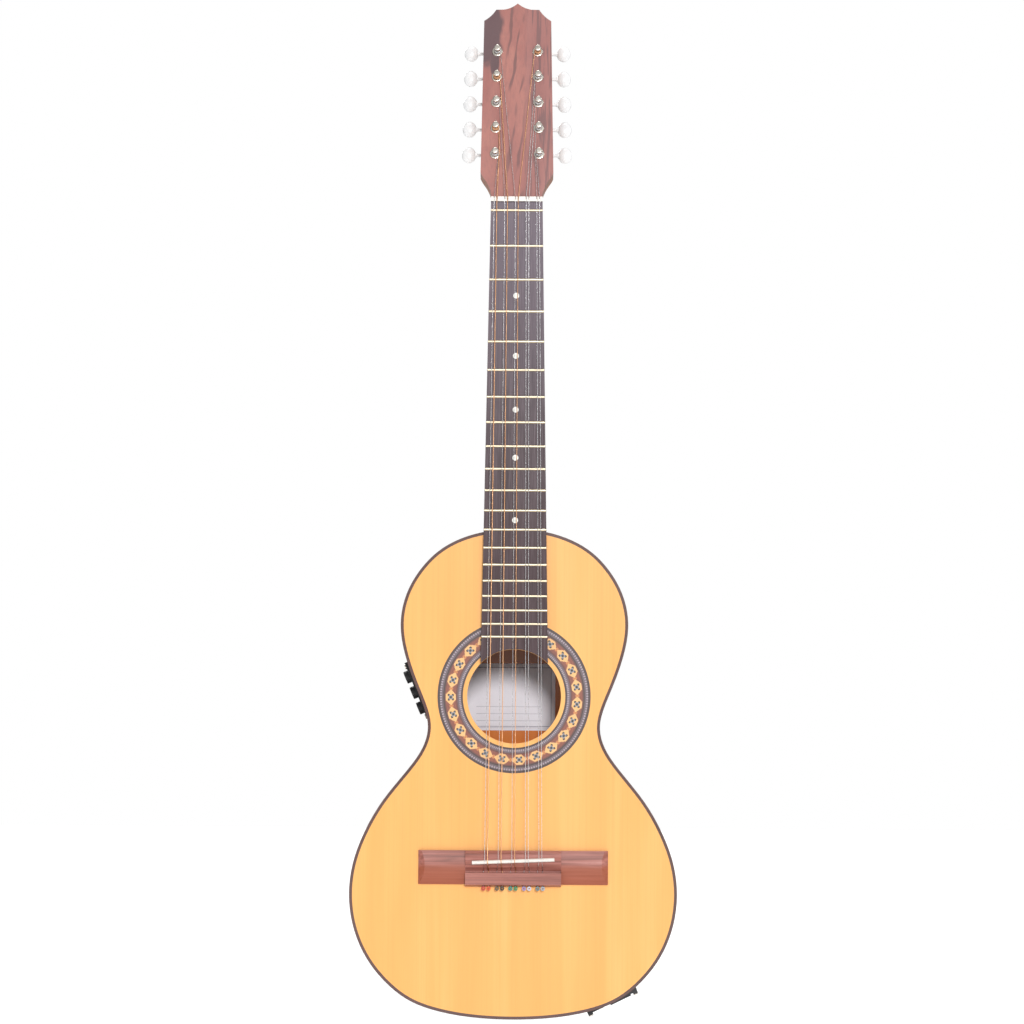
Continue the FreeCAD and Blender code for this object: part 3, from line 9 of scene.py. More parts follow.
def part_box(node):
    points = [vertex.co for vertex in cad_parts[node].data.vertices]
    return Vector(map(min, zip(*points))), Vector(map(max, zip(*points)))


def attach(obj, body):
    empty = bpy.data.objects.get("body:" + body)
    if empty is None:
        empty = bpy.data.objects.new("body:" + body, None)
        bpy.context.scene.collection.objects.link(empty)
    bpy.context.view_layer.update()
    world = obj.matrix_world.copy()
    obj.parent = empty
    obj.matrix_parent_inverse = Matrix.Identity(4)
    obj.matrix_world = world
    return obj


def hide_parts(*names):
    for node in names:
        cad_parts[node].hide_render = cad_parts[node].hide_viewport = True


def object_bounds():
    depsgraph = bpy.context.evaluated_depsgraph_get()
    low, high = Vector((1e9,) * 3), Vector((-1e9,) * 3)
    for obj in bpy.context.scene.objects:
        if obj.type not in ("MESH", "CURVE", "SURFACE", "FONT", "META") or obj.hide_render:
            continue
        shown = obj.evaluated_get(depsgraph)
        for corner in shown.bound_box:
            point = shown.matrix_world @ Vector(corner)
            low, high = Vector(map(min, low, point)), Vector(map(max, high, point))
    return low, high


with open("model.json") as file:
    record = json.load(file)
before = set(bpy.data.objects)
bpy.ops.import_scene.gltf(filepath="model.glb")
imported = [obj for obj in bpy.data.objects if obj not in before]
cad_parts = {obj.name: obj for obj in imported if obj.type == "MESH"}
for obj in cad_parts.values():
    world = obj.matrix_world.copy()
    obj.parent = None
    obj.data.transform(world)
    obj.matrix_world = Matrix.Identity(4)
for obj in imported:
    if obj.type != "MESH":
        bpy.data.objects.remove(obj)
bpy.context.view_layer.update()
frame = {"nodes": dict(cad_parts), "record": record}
mm = 0.001
rootBody = "instrument"
mergeReach = 0.001 * mm   # corners closer than this are one corner
print("frame loaded:", len(frame["nodes"]), "nodes")


# Helpers for nodes and materials

# settings that many nodes share
plus, minus, times = {"operation": "ADD"}, {"operation": "SUBTRACT"}, {"operation": "MULTIPLY"}
colourMix = {"data_type": "RGBA"}
softRise = {"interpolation_type": "SMOOTHSTEP"}
mixResult = 2                   # the output of a mix node that carries a colour
waveBase = 2 * math.pi / 20     # a wave texture of scale 1 repeats after this many metres


def hexColour(text):
    # sRGB hex to the linear values that shaders take
    values = [int(text[i:i + 2], 16) / 255 for i in (1, 3, 5)]
    return (*[v / 12.92 if v <= 0.04045 else ((v + 0.055) / 1.055) ** 2.4 for v in values], 1.0)


def fillSocket(tree, socket, value):
    # a socket is fed by another one, or holds a plain value or a hex colour
    if isinstance(value, bpy.types.NodeSocket):
        tree.links.new(value, socket)
    else:
        socket.default_value = hexColour(value) if isinstance(value, str) else value


def setStops(ramp, stops):
    # stops are (place, hex colour), in rising order
    while len(ramp.elements) < len(stops):
        ramp.elements.new(1.0)
    for element, (place, colour) in zip(ramp.elements, stops):
        element.position = place
        element.color = hexColour(colour)


def addNode(tree, kind, settings, inputs, output=0):
    # one node with its settings and what its sockets hold. It gives back one of its outputs
    node = tree.nodes.new(kind)
    for name, value in settings.items():
        if name == "stops":
            setStops(node.color_ramp, value)
        else:
            setattr(node, name, value)
    for name, value in inputs.items():
        fillSocket(tree, node.inputs[name], value)
    return node.outputs[output] if node.outputs else None


def startMaterial(name, surface):
    # a principled material with its plain values set on the shader's own sockets
    material = bpy.data.materials.new(name)
    material.use_nodes = True
    tree = material.node_tree
    shader = tree.nodes["Principled BSDF"]
    for socket, value in surface.items():
        fillSocket(tree, shader.inputs[socket], value)
    return material, tree, shader, addNode(tree, "ShaderNodeTexCoord", {}, {}, "Object")


def layPatches(tree, place, widths, detail=3.0, distortion=0.0):
    # a pattern of soft patches, so many millimetres wide along x, y and z
    scale = [1 / (w * mm) for w in widths]
    stretched = addNode(tree, "ShaderNodeMapping", {}, {"Vector": place, "Scale": scale})
    return addNode(tree, "ShaderNodeTexNoise", {}, {
        "Vector": stretched, "Scale": 1.0, "Detail": detail, "Roughness": 0.55, "Distortion": distortion})


def finishSurface(tree, shader, colour, pattern, roughness=None, depth=0.0, relief=None):
    # the shader's colour, and a roughness between two values and a relief so many mm deep from the pattern
    fillSocket(tree, shader.inputs["Base Color"], colour)
    if roughness:
        low, high = roughness
        spread = addNode(tree, "ShaderNodeMapRange", {}, {"Value": pattern, "To Min": low, "To Max": high})
        fillSocket(tree, shader.inputs["Roughness"], spread)
    if depth:
        height = pattern if relief is None else relief
        bump = addNode(tree, "ShaderNodeBump", {}, {"Height": height, "Distance": depth * mm})
        fillSocket(tree, shader.inputs["Normal"], bump)


# Woods

grainWays = {
    # which of x, y and z the growth rings are long in: up the instrument, across it, or round its outline
    "up": (False, False, True), "across": (True, False, False), "round": (True, False, True)}
grainLimits = {
    # pattern values between which the dark lines and the pores come up, and a pore's size in mm
    "line": (0.45, 0.70), "pore": (0.62, 0.74), "poreWidth": 0.7, "poreLength": 9.0}

woods = {
    # quarter-sawn spruce under satin lacquer: honey cream, fine straight growth rings
    "lacqueredSpruce": {
        "figure": [(0.30, "#E29F4E"), (0.52, "#E6A555"), (0.72, "#E9AE61")],
        "figureWidth": 30, "figureLength": 560,
        "line": "#D09048", "lineShare": 0.24, "lineWidth": 1.5, "lineLength": 700, "poreShare": 0.0,
        "way": "up", "roughness": (0.30, 0.40), "bump": 0.03, "coat": 0.35},
    # the same spruce left raw inside the body: paler, matt
    "rawSpruce": {
        "figure": [(0.30, "#CFA468"), (0.70, "#DDB986")],
        "figureWidth": 20, "figureLength": 200,
        "line": "#B98A50", "lineShare": 0.4, "lineWidth": 1.4, "lineLength": 200, "poreShare": 0.0,
        "way": "across", "roughness": (0.65, 0.8), "bump": 0.05, "coat": 0.0},
    # rosewood veneer on the head: salmon brown, with the smoky heartwood of headFigure laid over it
    "headRosewood": {
        "figure": [(0.30, "#925750"), (0.50, "#9C625A"), (0.72, "#A86D62")],
        "figureWidth": 16, "figureLength": 150,
        "line": "#7C5450", "lineShare": 0.30, "lineWidth": 1.4, "lineLength": 120, "poreShare": 0.12,
        "way": "up", "roughness": (0.34, 0.46), "bump": 0.04, "coat": 0.25},
    # rosewood block of the bridge, oiled: the same wood, grain across the body
    "bridgeRosewood": {
        "figure": [(0.28, "#7A4539"), (0.45, "#95584B"), (0.60, "#A2665B"), (0.80, "#B0786F")],
        "figureWidth": 6, "figureLength": 80,
        "line": "#5C332E", "lineShare": 0.6, "lineWidth": 1.6, "lineLength": 120, "poreShare": 0.35,
        "way": "across", "roughness": (0.42, 0.55), "bump": 0.06, "coat": 0.0},
    # rosewood back and sides under lacquer: deep brown, straight dark grain
    "sideRosewood": {
        "figure": [(0.28, "#3C2018"), (0.48, "#5E3222"), (0.62, "#744030"), (0.82, "#83503A")],
        "figureWidth": 14, "figureLength": 240,
        "line": "#2A1511", "lineShare": 0.6, "lineWidth": 2.0, "lineLength": 300, "poreShare": 0.25,
        "way": "round", "roughness": (0.16, 0.26), "bump": 0.03, "coat": 0.6},
    # the same rosewood for the back plate, whose inner face is raw and carries painted shade towards the neck
    "backRosewood": {
        "figure": [(0.28, "#3C2018"), (0.48, "#5E3222"), (0.62, "#744030"), (0.82, "#83503A")],
        "figureWidth": 18, "figureLength": 300,
        "line": "#2A1511", "lineShare": 0.6, "lineWidth": 2.0, "lineLength": 300, "poreShare": 0.25,
        "way": "up", "roughness": (0.18, 0.28), "bump": 0.03, "coat": 0.5},
    # dark rosewood fingerboard, oiled: grey purple with fine paler grain
    "boardRosewood": {
        "figure": [(0.30, "#3C3034"), (0.50, "#4A3E42"), (0.75, "#584A4F")],
        "figureWidth": 7, "figureLength": 130,
        "line": "#766A70", "lineShare": 0.40, "lineWidth": 0.9, "lineLength": 34, "poreShare": 0.35,
        "way": "up", "roughness": (0.28, 0.36), "bump": 0.03, "coat": 0.0, "gloss": 0.22},
    # cedar neck under satin lacquer: warm mid brown
    "lacqueredCedar": {
        "figure": [(0.30, "#7A4427"), (0.52, "#925632"), (0.75, "#A2663C")],
        "figureWidth": 12, "figureLength": 220,
        "line": "#6A3A22", "lineShare": 0.45, "lineWidth": 1.8, "lineLength": 160, "poreShare": 0.25,
        "way": "up", "roughness": (0.28, 0.38), "bump": 0.04, "coat": 0.3},
    # raw cedar blocks, linings and back braces: matt orange brown
    "rawCedar": {
        "figure": [(0.30, "#94603A"), (0.70, "#AD7A4C")],
        "figureWidth": 10, "figureLength": 120,
        "line": "#7C4C2C", "lineShare": 0.45, "lineWidth": 1.6, "lineLength": 100, "poreShare": 0.2,
        "way": "across", "roughness": (0.6, 0.75), "bump": 0.06, "coat": 0.0},
    # stained strip round the edges of the body, lacquered: dark reddish brown
    "bindingWood": {
        "figure": [(0.30, "#4A302C"), (0.70, "#5C3E39")],
        "figureWidth": 5, "figureLength": 60,
        "line": "#3A2522", "lineShare": 0.3, "lineWidth": 1.0, "lineLength": 60, "poreShare": 0.1,
        "way": "round", "roughness": (0.2, 0.3), "bump": 0.02, "coat": 0.5},
}

bridgeWarmth = {
    # the rear half of the bridge's wings is painted a darker, warmer, plainer brown: from and to which
    # height, in mm
    "colour": "#924624", "start": -601.0, "full": -607.0, "share": 0.7,
    "wing": 43.0,   # mm from the centreline to where a wing begins
}
boardSheenAndShade = (
    # painted light on the fingerboard: a paler colour towards the nut is a painted sheen, a darker one
    # towards the hole is painted shade; heights in mm
    {"colour": "#6C5E6E", "start": -250.0, "full": -20.0, "share": 0.42},
    {"colour": "#3C2424", "start": -180.0, "full": -370.0, "share": 0.45})
rawBackWithShade = {
    # the back plate's inner face never got any lacquer: orange brown, with painted shade that makes it darker
    # towards the neck, from and to which height in mm
    "stops": [(0.3, "#D06E2C"), (0.7, "#E0823A")],
    # painted shade: the colour, heights and share of the darkening towards the neck
    "colour": "#5C3222", "start": -460.0, "full": -415.0, "share": 0.75,
    "facing": (-0.5, -0.8),   # how far forward a face has to look to be the inner one
}
headFigure = {
    # soft ovals of heartwood at the upper bass corner: middle and half size in mm, across and up the head
    "ovals": [((-30.0, 164.0), (17.0, 36.0)), ((-21.0, 134.0), (4.5, 18.0))],
    "ovalColour": "#48373D", "ovalShare": 0.85,
    "ovalEdge": (2.1, 1.45),             # squared distances where an oval fades out and where it is full
    "ragged": (9.0, 9.0, 22.0),          # mm, patches that make the edge ragged
    "raggedReach": 1.6,
    # wavy dark lines that lean across the middle
    "slant": -9.0,                       # degrees
    "slantApart": 9.0,                   # mm from one line to the next
    "slantStretch": 0.15,                # how fast a line changes along its length
    "slantWaves": {"Distortion": 4.0, "Detail": 2.0, "Detail Scale": 2.5},
    "slantRise": (0.60, 0.96, 0.85),     # wave values where a line comes up, and its strength
    "slantBreaks": (9.0, 9.0, 95.0),     # mm, patches that break the lines into strokes
    "slantGaps": (0.42, 0.52),
    "slantMiddle": -2.0,                 # mm across the head
    "slantReach": (13.0, 4.0),           # mm from there, where the lines fade out and where they are full
    "slantColour": "#6C4846",
    # straight dark lines in duller wood on the treble side
    "straightStart": (5.0, 10.0),        # mm across the head, where they begin and where they are full
    "straightPatches": (2.3, 9.0, 300.0),
    "straightRise": (0.48, 0.60, 0.9),   # pattern values where a line comes up, and its strength
    "straightColour": "#74504F", "trebleColour": "#94635F", "trebleShare": 0.5,
}


def layLeaningLines(tree, place, axes, colour):
    # a wave leaned over and drawn out into long lines, broken into strokes and kept to the middle
    look = headFigure
    turn, stretch = (0, math.radians(look["slant"]), 0), (1.0, 1.0, look["slantStretch"])
    leaned = addNode(tree, "ShaderNodeMapping", {}, {"Vector": place, "Rotation": turn})
    drawn = addNode(tree, "ShaderNodeMapping", {}, {"Vector": leaned, "Scale": stretch})
    wave = addNode(tree, "ShaderNodeTexWave", {"bands_direction": "X"}, {
        "Vector": drawn, "Scale": waveBase / (look["slantApart"] * mm), **look["slantWaves"]}, "Fac")
    low, high, share = look["slantRise"]
    lines = addNode(tree, "ShaderNodeMapRange", softRise, {
        "Value": wave, "From Min": low, "From Max": high, "To Max": share})
    low, high = look["slantGaps"]
    strokes = addNode(tree, "ShaderNodeMapRange", softRise, {
        "Value": layPatches(tree, leaned, look["slantBreaks"], 1.0), "From Min": low, "From Max": high})
    offset = addNode(tree, "ShaderNodeMath", minus, {0: axes["X"], 1: look["slantMiddle"] * mm})
    aside = addNode(tree, "ShaderNodeMath", {"operation": "ABSOLUTE"}, {0: offset})
    low, high = look["slantReach"]
    middle = addNode(tree, "ShaderNodeMapRange", softRise, {
        "Value": aside, "From Min": low * mm, "From Max": high * mm})
    amount = addNode(tree, "ShaderNodeMath", times, {0: lines, 1: strokes})
    amount = addNode(tree, "ShaderNodeMath", times, {0: amount, 1: middle})
    return addNode(tree, "ShaderNodeMix", colourMix, {
        0: amount, 6: colour, 7: look["slantColour"]}, mixResult)


def layStraightLines(tree, place, axes, colour):
    # duller wood on the treble side, with straight dark lines in it
    look = headFigure
    low, high = look["straightStart"]
    treble = addNode(tree, "ShaderNodeMapRange", softRise, {
        "Value": axes["X"], "From Min": low * mm, "From Max": high * mm})
    dull = addNode(tree, "ShaderNodeMath", times, {0: treble, 1: look["trebleShare"]})
    colour = addNode(tree, "ShaderNodeMix", colourMix, {
        0: dull, 6: colour, 7: look["trebleColour"]}, mixResult)
    low, high, share = look["straightRise"]
    lines = addNode(tree, "ShaderNodeMapRange", softRise, {
        "Value": layPatches(tree, place, look["straightPatches"], 2.0, 0.1),
        "From Min": low, "From Max": high, "To Max": share})
    amount = addNode(tree, "ShaderNodeMath", times, {0: lines, 1: treble})
    return addNode(tree, "ShaderNodeMix", colourMix, {
        0: amount, 6: colour, 7: look["straightColour"]}, mixResult)


def layOvals(tree, place, axes, colour):
    # dark wherever the squared distance from an oval's middle, with ragged patches added, is small
    look = headFigure
    ragged = layPatches(tree, place, look["ragged"], 2.0, 0.4)
    ragged = addNode(tree, "ShaderNodeMath", times, {0: ragged, 1: look["raggedReach"]})
    low, high = look["ovalEdge"]
    amount = 0.0
    for middle, half in look["ovals"]:
        distance = ragged
        for axis, centre, reach in zip(("X", "Z"), middle, half):
            offset = addNode(tree, "ShaderNodeMath", minus, {0: axes[axis], 1: centre * mm})
            offset = addNode(tree, "ShaderNodeMath", {"operation": "DIVIDE"}, {0: offset, 1: reach * mm})
            square = addNode(tree, "ShaderNodeMath", times, {0: offset, 1: offset})
            distance = addNode(tree, "ShaderNodeMath", plus, {0: distance, 1: square})
        oval = addNode(tree, "ShaderNodeMapRange", softRise, {
            "Value": distance, "From Min": low, "From Max": high})
        amount = addNode(tree, "ShaderNodeMath", {"operation": "MAXIMUM"}, {0: amount, 1: oval})
    amount = addNode(tree, "ShaderNodeMath", times, {0: amount, 1: look["ovalShare"]})
    return addNode(tree, "ShaderNodeMix", colourMix, {
        0: amount, 6: colour, 7: look["ovalColour"]}, mixResult)


def layHeartwood(tree, place, colour):
    # the dark figure of the head's veneer over its plain colour
    axes = addNode(tree, "ShaderNodeSeparateXYZ", {}, {0: place}).node.outputs
    for lay in (layLeaningLines, layStraightLines, layOvals):
        colour = lay(tree, place, axes, colour)
    return colour


def shadeAlong(tree, place, colour, shade):
    # fades another colour in between two heights, and where it has a wing, only further out than that
    axes = addNode(tree, "ShaderNodeSeparateXYZ", {}, {0: place}).node.outputs
    amount = addNode(tree, "ShaderNodeMapRange", softRise, {
        "Value": axes["Z"], "From Min": shade["start"] * mm, "From Max": shade["full"] * mm,
        "To Max": shade["share"]})
    if "wing" in shade:
        aside = addNode(tree, "ShaderNodeMath", {"operation": "ABSOLUTE"}, {0: axes["X"]})
        outside = addNode(tree, "ShaderNodeMath", {"operation": "GREATER_THAN"}, {
            0: aside, 1: shade["wing"] * mm})
        amount = addNode(tree, "ShaderNodeMath", times, {0: amount, 1: outside})
    return addNode(tree, "ShaderNodeMix", colourMix, {0: amount, 6: colour, 7: shade["colour"]}, mixResult)


def layRawBack(tree, place, colour, broad):
    # the inner face's raw wood, with painted shade towards the neck, on the faces that look forward
    raw = addNode(tree, "ShaderNodeValToRGB", {"stops": rawBackWithShade["stops"]}, {"Fac": broad})
    # painted shade, darker towards the neck
    raw = shadeAlong(tree, place, raw, rawBackWithShade)
    facing = addNode(tree, "ShaderNodeTexCoord", {}, {}, "Normal")
    forward = addNode(tree, "ShaderNodeSeparateXYZ", {}, {0: facing}, "Y")
    low, high = rawBackWithShade["facing"]
    inner = addNode(tree, "ShaderNodeMapRange", softRise, {
        "Value": forward, "From Min": low, "From Max": high})
    return addNode(tree, "ShaderNodeMix", colourMix, {0: inner, 6: colour, 7: raw}, mixResult)


def makeWood(name):
    # broad figure, fine dark lines and pores, all long in the grain's way
    wood = woods[name]
    surface = {"IOR": 1.5, "Coat Weight": wood["coat"], "Coat Roughness": 0.12, "Coat IOR": 1.48,
               "Specular IOR Level": wood.get("gloss", 0.5)}
    material, tree, shader, place = startMaterial(name, surface)

    def layGrain(width, length, detail, distortion=0.0):
        widths = [length if long else width for long in grainWays[wood["way"]]]
        return layPatches(tree, place, widths, detail, distortion)

    broad = layGrain(wood["figureWidth"], wood["figureLength"], 4.0, 0.6)
    fine = layGrain(wood["lineWidth"], wood["lineLength"], 2.0, 0.2)
    figure = addNode(tree, "ShaderNodeValToRGB", {"stops": wood["figure"]}, {"Fac": broad})
    low, high = grainLimits["line"]
    amount = addNode(tree, "ShaderNodeMapRange", {}, {
        "Value": fine, "From Min": low, "From Max": high, "To Max": wood["lineShare"]})
    colour = addNode(tree, "ShaderNodeMix", colourMix, {0: amount, 6: figure, 7: wood["line"]}, mixResult)
    relief = fine
    if wood["poreShare"]:
        pores = layGrain(grainLimits["poreWidth"], grainLimits["poreLength"], 2.0)
        low, high = grainLimits["pore"]
        amount = addNode(tree, "ShaderNodeMapRange", {}, {
            "Value": pores, "From Min": low, "From Max": high, "To Max": wood["poreShare"]})
        darkest = wood["figure"][0][1]
        colour = addNode(tree, "ShaderNodeMix", colourMix, {
            0: amount, 6: colour, 7: darkest}, mixResult)
        relief = addNode(tree, "ShaderNodeMath", minus, {0: fine, 1: amount})
    if name == "headRosewood":
        colour = layHeartwood(tree, place, colour)
    if name == "bridgeRosewood":
        colour = shadeAlong(tree, place, colour, bridgeWarmth)
    if name == "boardRosewood":
        # painted sheen towards the nut, painted shade towards the hole
        for end in boardSheenAndShade:
            colour = shadeAlong(tree, place, colour, end)
    if name == "backRosewood":
        colour = layRawBack(tree, place, colour, broad)
    finishSurface(tree, shader, colour, fine, wood["roughness"], wood["bump"], relief)
    return material


# Metals, plastics, bone, paper

metals = {
    # nickel plated steel and brass of the tuners, screws and jack: warm bright metal, soft reflections
    "nickelPlate": {"colour": "#D9D2C8", "roughness": (0.16, 0.30), "bump": 0.01, "grain": 2.0},
    # polished nickel silver frets: creamy pale metal with light wear
    "nickelSilverFrets": {"colour": "#CFC2A8", "roughness": (0.28, 0.42), "bump": 0.01, "grain": 3.0},
    # drawn plain steel strings: bright grey
    "drawnStringSteel": {"colour": "#DCDCDE", "roughness": (0.20, 0.34), "bump": 0.0, "grain": 6.0},
    # steel bar in the neck, rolled: dull grey
    "rolledSteelBar": {"colour": "#8C8D90", "roughness": (0.4, 0.6), "bump": 0.03, "grain": 1.5},
    # drawn steel can of the battery with a plain dark lacquered wrap
    "lacqueredSteelCan": {"colour": "#50535B", "roughness": (0.28, 0.42), "bump": 0.01, "grain": 4.0},
}


def makeMetal(name):
    metal = metals[name]
    material, tree, shader, place = startMaterial(name, {"Metallic": 1.0})
    smudges = layPatches(tree, place, [metal["grain"]] * 3, 4.0)
    finishSurface(tree, shader, metal["colour"], smudges, metal["roughness"], metal["bump"])
    return material


winding = {
    # the real turns are about 0.2 mm apart, too fine to show, so they are drawn further apart, in mm
    "apart": 0.8,
    # painted shade in the grooves between turns, lighter on the turns themselves
    "stops": [(0.0, "#B87C50"), (0.6, "#F0B88C"), (1.0, "#F8CCA4")],
    "depth": 0.08,
}


def makeBronzeWinding():
    # bronze wire wound round a steel core: orange metal, with painted shade as fine dark rings in the grooves
    # between turns
    material, tree, shader, place = startMaterial("bronzeWinding", {"Metallic": 1.0, "Roughness": 0.3})
    turns = {"wave_type": "BANDS", "bands_direction": "Z"}
    scale = waveBase / (winding["apart"] * mm)
    wave = addNode(tree, "ShaderNodeTexWave", turns, {"Vector": place, "Scale": scale}, "Fac")
    colour = addNode(tree, "ShaderNodeValToRGB", {"stops": winding["stops"]}, {"Fac": wave})
    finishSurface(tree, shader, colour, wave, depth=winding["depth"])
    return material


plastics = {
    # polished cow bone of nut and saddle: warm white, faint pores
    "polishedBone": {
        "colours": ("#D3CCC4", "#DCD6CF"), "patch": 3.0, "roughness": (0.25, 0.4), "bump": 0.02, "coat": 0.2},
    # cast pearl-like plastic of the tuner buttons: milky white with soft clouds, glossy
    "castPearlButtons": {
        "colours": ("#DBDBDC", "#E0E0E0"), "patch": 14.0, "roughness": (0.34, 0.4), "bump": 0.0, "coat": 0.2},
    # pearl shell of the position dots: cool white with faint clouds
    "pearlShell": {
        "colours": ("#D9DDD8", "#F5F1EA"), "patch": 1.6, "roughness": (0.12, 0.2), "bump": 0.0, "coat": 0.6},
    # moulded ABS of preamp, knobs and end plate: near black with a fine moulded texture
    "mouldedAbs": {
        "colours": ("#19191C", "#232327"), "patch": 0.7, "roughness": (0.42, 0.58), "bump": 0.04,
        "coat": 0.0},
    # extruded PVC jacket of the leads: soft matt black
    "pvcJacket": {
        "colours": ("#151516", "#202022"), "patch": 2.0, "roughness": (0.45, 0.6), "bump": 0.01, "coat": 0.0},
    # foil and resin of the pickup strip: dark grey
    "resinPickup": {
        "colours": ("#2C2C30", "#3A3A3F"), "patch": 1.2, "roughness": (0.4, 0.5), "bump": 0.02, "coat": 0.0},
}


def makePlastic(name):
    plastic = plastics[name]
    surface = {"IOR": 1.5, "Coat Weight": plastic["coat"], "Coat Roughness": 0.06}
    material, tree, shader, place = startMaterial(name, surface)
    clouds = layPatches(tree, place, [plastic["patch"]] * 3, 3.0, 0.8)
    low, high = plastic["colours"]
    colour = addNode(tree, "ShaderNodeValToRGB", {"stops": [(0.35, low), (0.65, high)]}, {"Fac": clouds})
    finishSurface(tree, shader, colour, clouds, plastic["roughness"], plastic["bump"])
    return material


ballEnds = {
    # pairs of coloured ball ends, bass to treble
    "colours": ["#B02A22", "#C8481F", "#5A4A34", "#1E1A18", "#0E7A70", "#127A50", "#8A78A8", "#B4B8C8",
                "#5E7478", "#8E98A4"],
    "reach": 30.0,   # mm each side of the centreline that the colour bands cover
    "speck": 0.6, "roughness": (0.18, 0.34),
    "centres": (-26.65, -21.95, -14.5, -9.8, -2.35, 2.35, 9.8, 14.5, 21.95, 26.65),   # mm, of the balls
}


def makeBallEnamel():
    # brass ball ends dipped in coloured enamel, a colour for each string: glossy. The bands
    # change halfway between two strings
    material, tree, shader, place = startMaterial("ballEnamel", {"Roughness": 0.25, "Coat Weight": 0.5})
    reach, centres = ballEnds["reach"], ballEnds["centres"]
    across = addNode(tree, "ShaderNodeSeparateXYZ", {}, {0: place}, "X")
    share = addNode(tree, "ShaderNodeMapRange", {}, {
        "Value": across, "From Min": -reach * mm, "From Max": reach * mm})
    edges = [-reach] + [(a + b) / 2 for a, b in zip(centres, centres[1:])]
    stops = [((x + reach) / (2 * reach), colour) for x, colour in zip(edges, ballEnds["colours"])]
    bands = addNode(tree, "ShaderNodeValToRGB", {"stops": stops}, {"Fac": share})
    bands.node.color_ramp.interpolation = "CONSTANT"
    specks = layPatches(tree, place, [ballEnds["speck"]] * 3)
    finishSurface(tree, shader, bands, specks, ballEnds["roughness"])
    return material


label = {
    "rightEdge": 38.3,     # mm to the treble side of the centreline
    "topEdge": -423.1,     # mm below the nut
    "paper": "#F4F0F5",
    "fibre": "#ECE7EE",
    "fibreSize": (0.5, 0.5, 0.8), "relief": 0.01,
    "ink": "#8C8794",
    "frameInset": 3.5,     # mm from the paper's edge to the printed frame
    "frameWidth": 0.5,
    "lineDrops": (40.0, 46.5, 53.0, 59.5),   # ruled lines, mm below the label's upper edge
    "lineReach": 30.0,
}


def makeLabelPaper(low, high):
    # uncoated paper with a printed frame and ruled lines: lilac white, matt
    surface = {"Roughness": 0.85, "Specular IOR Level": 0.2}
    material, tree, shader, place = startMaterial("printedPaper", surface)
    axes = addNode(tree, "ShaderNodeSeparateXYZ", {}, {0: place}).node.outputs
    centre = (low + high) / 2
    fibres = layPatches(tree, place, label["fibreSize"], 4.0)
    paperStops = [(0.3, label["fibre"]), (0.7, label["paper"])]
    paper = addNode(tree, "ShaderNodeValToRGB", {"stops": paperStops}, {"Fac": fibres})

    def printBlock(height, halfWide, halfHigh):
        # 1 inside a rectangle centred on the label, at a height
        within = {"operation": "COMPARE"}
        sides = [addNode(tree, "ShaderNodeMath", within, {0: axes[axis], 1: middle, 2: half})
                 for axis, middle, half in (("X", centre.x, halfWide), ("Z", height, halfHigh))]
        return addNode(tree, "ShaderNodeMath", times, {0: sides[0], 1: sides[1]})

    inset, width = label["frameInset"] * mm, label["frameWidth"] * mm
    halfX, halfZ = (high.x - low.x) / 2 - inset, (high.z - low.z) / 2 - inset
    outer = printBlock(centre.z, halfX, halfZ)
    inner = printBlock(centre.z, halfX - width, halfZ - width)
    ink = addNode(tree, "ShaderNodeMath", minus, {0: outer, 1: inner})
    for drop in label["lineDrops"]:
        line = printBlock(high.z - drop * mm, label["lineReach"] * mm, width / 4)
        ink = addNode(tree, "ShaderNodeMath", {"operation": "MAXIMUM"}, {0: ink, 1: line})
    colour = addNode(tree, "ShaderNodeMix", colourMix, {0: ink, 6: paper, 7: label["ink"]}, mixResult)
    finishSurface(tree, shader, colour, fibres, depth=label["relief"])
    return material


dyedWood = {"grain": (0.6, 0.6, 4.0), "roughness": (0.30, 0.42)}   # the grain in mm


def makeDyedWood(name, colour, shade):
    # dyed hardwood strip of the rosette: fine-grained and flat under the lacquer
    surface = {"IOR": 1.5, "Coat Weight": 0.35, "Coat Roughness": 0.12}
    material, tree, shader, place = startMaterial(name, surface)
    grain = layPatches(tree, place, dyedWood["grain"], 2.0)
    tone = addNode(tree, "ShaderNodeValToRGB", {"stops": [(0.3, shade), (0.7, colour)]}, {"Fac": grain})
    finishSurface(tree, shader, tone, grain, dyedWood["roughness"])
    return material


# Carried-over nodes: smooth shading and their finishes

def makeSmoothing():
    # merges the loose triangles, then shades smooth with sharp edges past 30 degrees
    tree = bpy.data.node_groups.new("smoothShading", "GeometryNodeTree")
    for direction in ("INPUT", "OUTPUT"):
        tree.interface.new_socket("Geometry", in_out=direction, socket_type="NodeSocketGeometry")
    source = addNode(tree, "NodeGroupInput", {}, {})
    merged = addNode(tree, "GeometryNodeMergeByDistance", {}, {
        "Geometry": source, "Distance": 2 * mergeReach})
    smooth = addNode(tree, "GeometryNodeSetShadeSmooth", {}, {"Geometry": merged})
    angle = addNode(tree, "GeometryNodeInputMeshEdgeAngle", {}, {}, "Unsigned Angle")
    sharp = addNode(tree, "FunctionNodeCompare", {"operation": "GREATER_THAN"}, {
        "A": angle, "B": math.radians(30)})
    creased = addNode(tree, "GeometryNodeSetShadeSmooth", {"domain": "EDGE"}, {
        "Geometry": smooth, "Selection": sharp, "Shade Smooth": False})
    addNode(tree, "NodeGroupOutput", {}, {0: creased})
    return tree


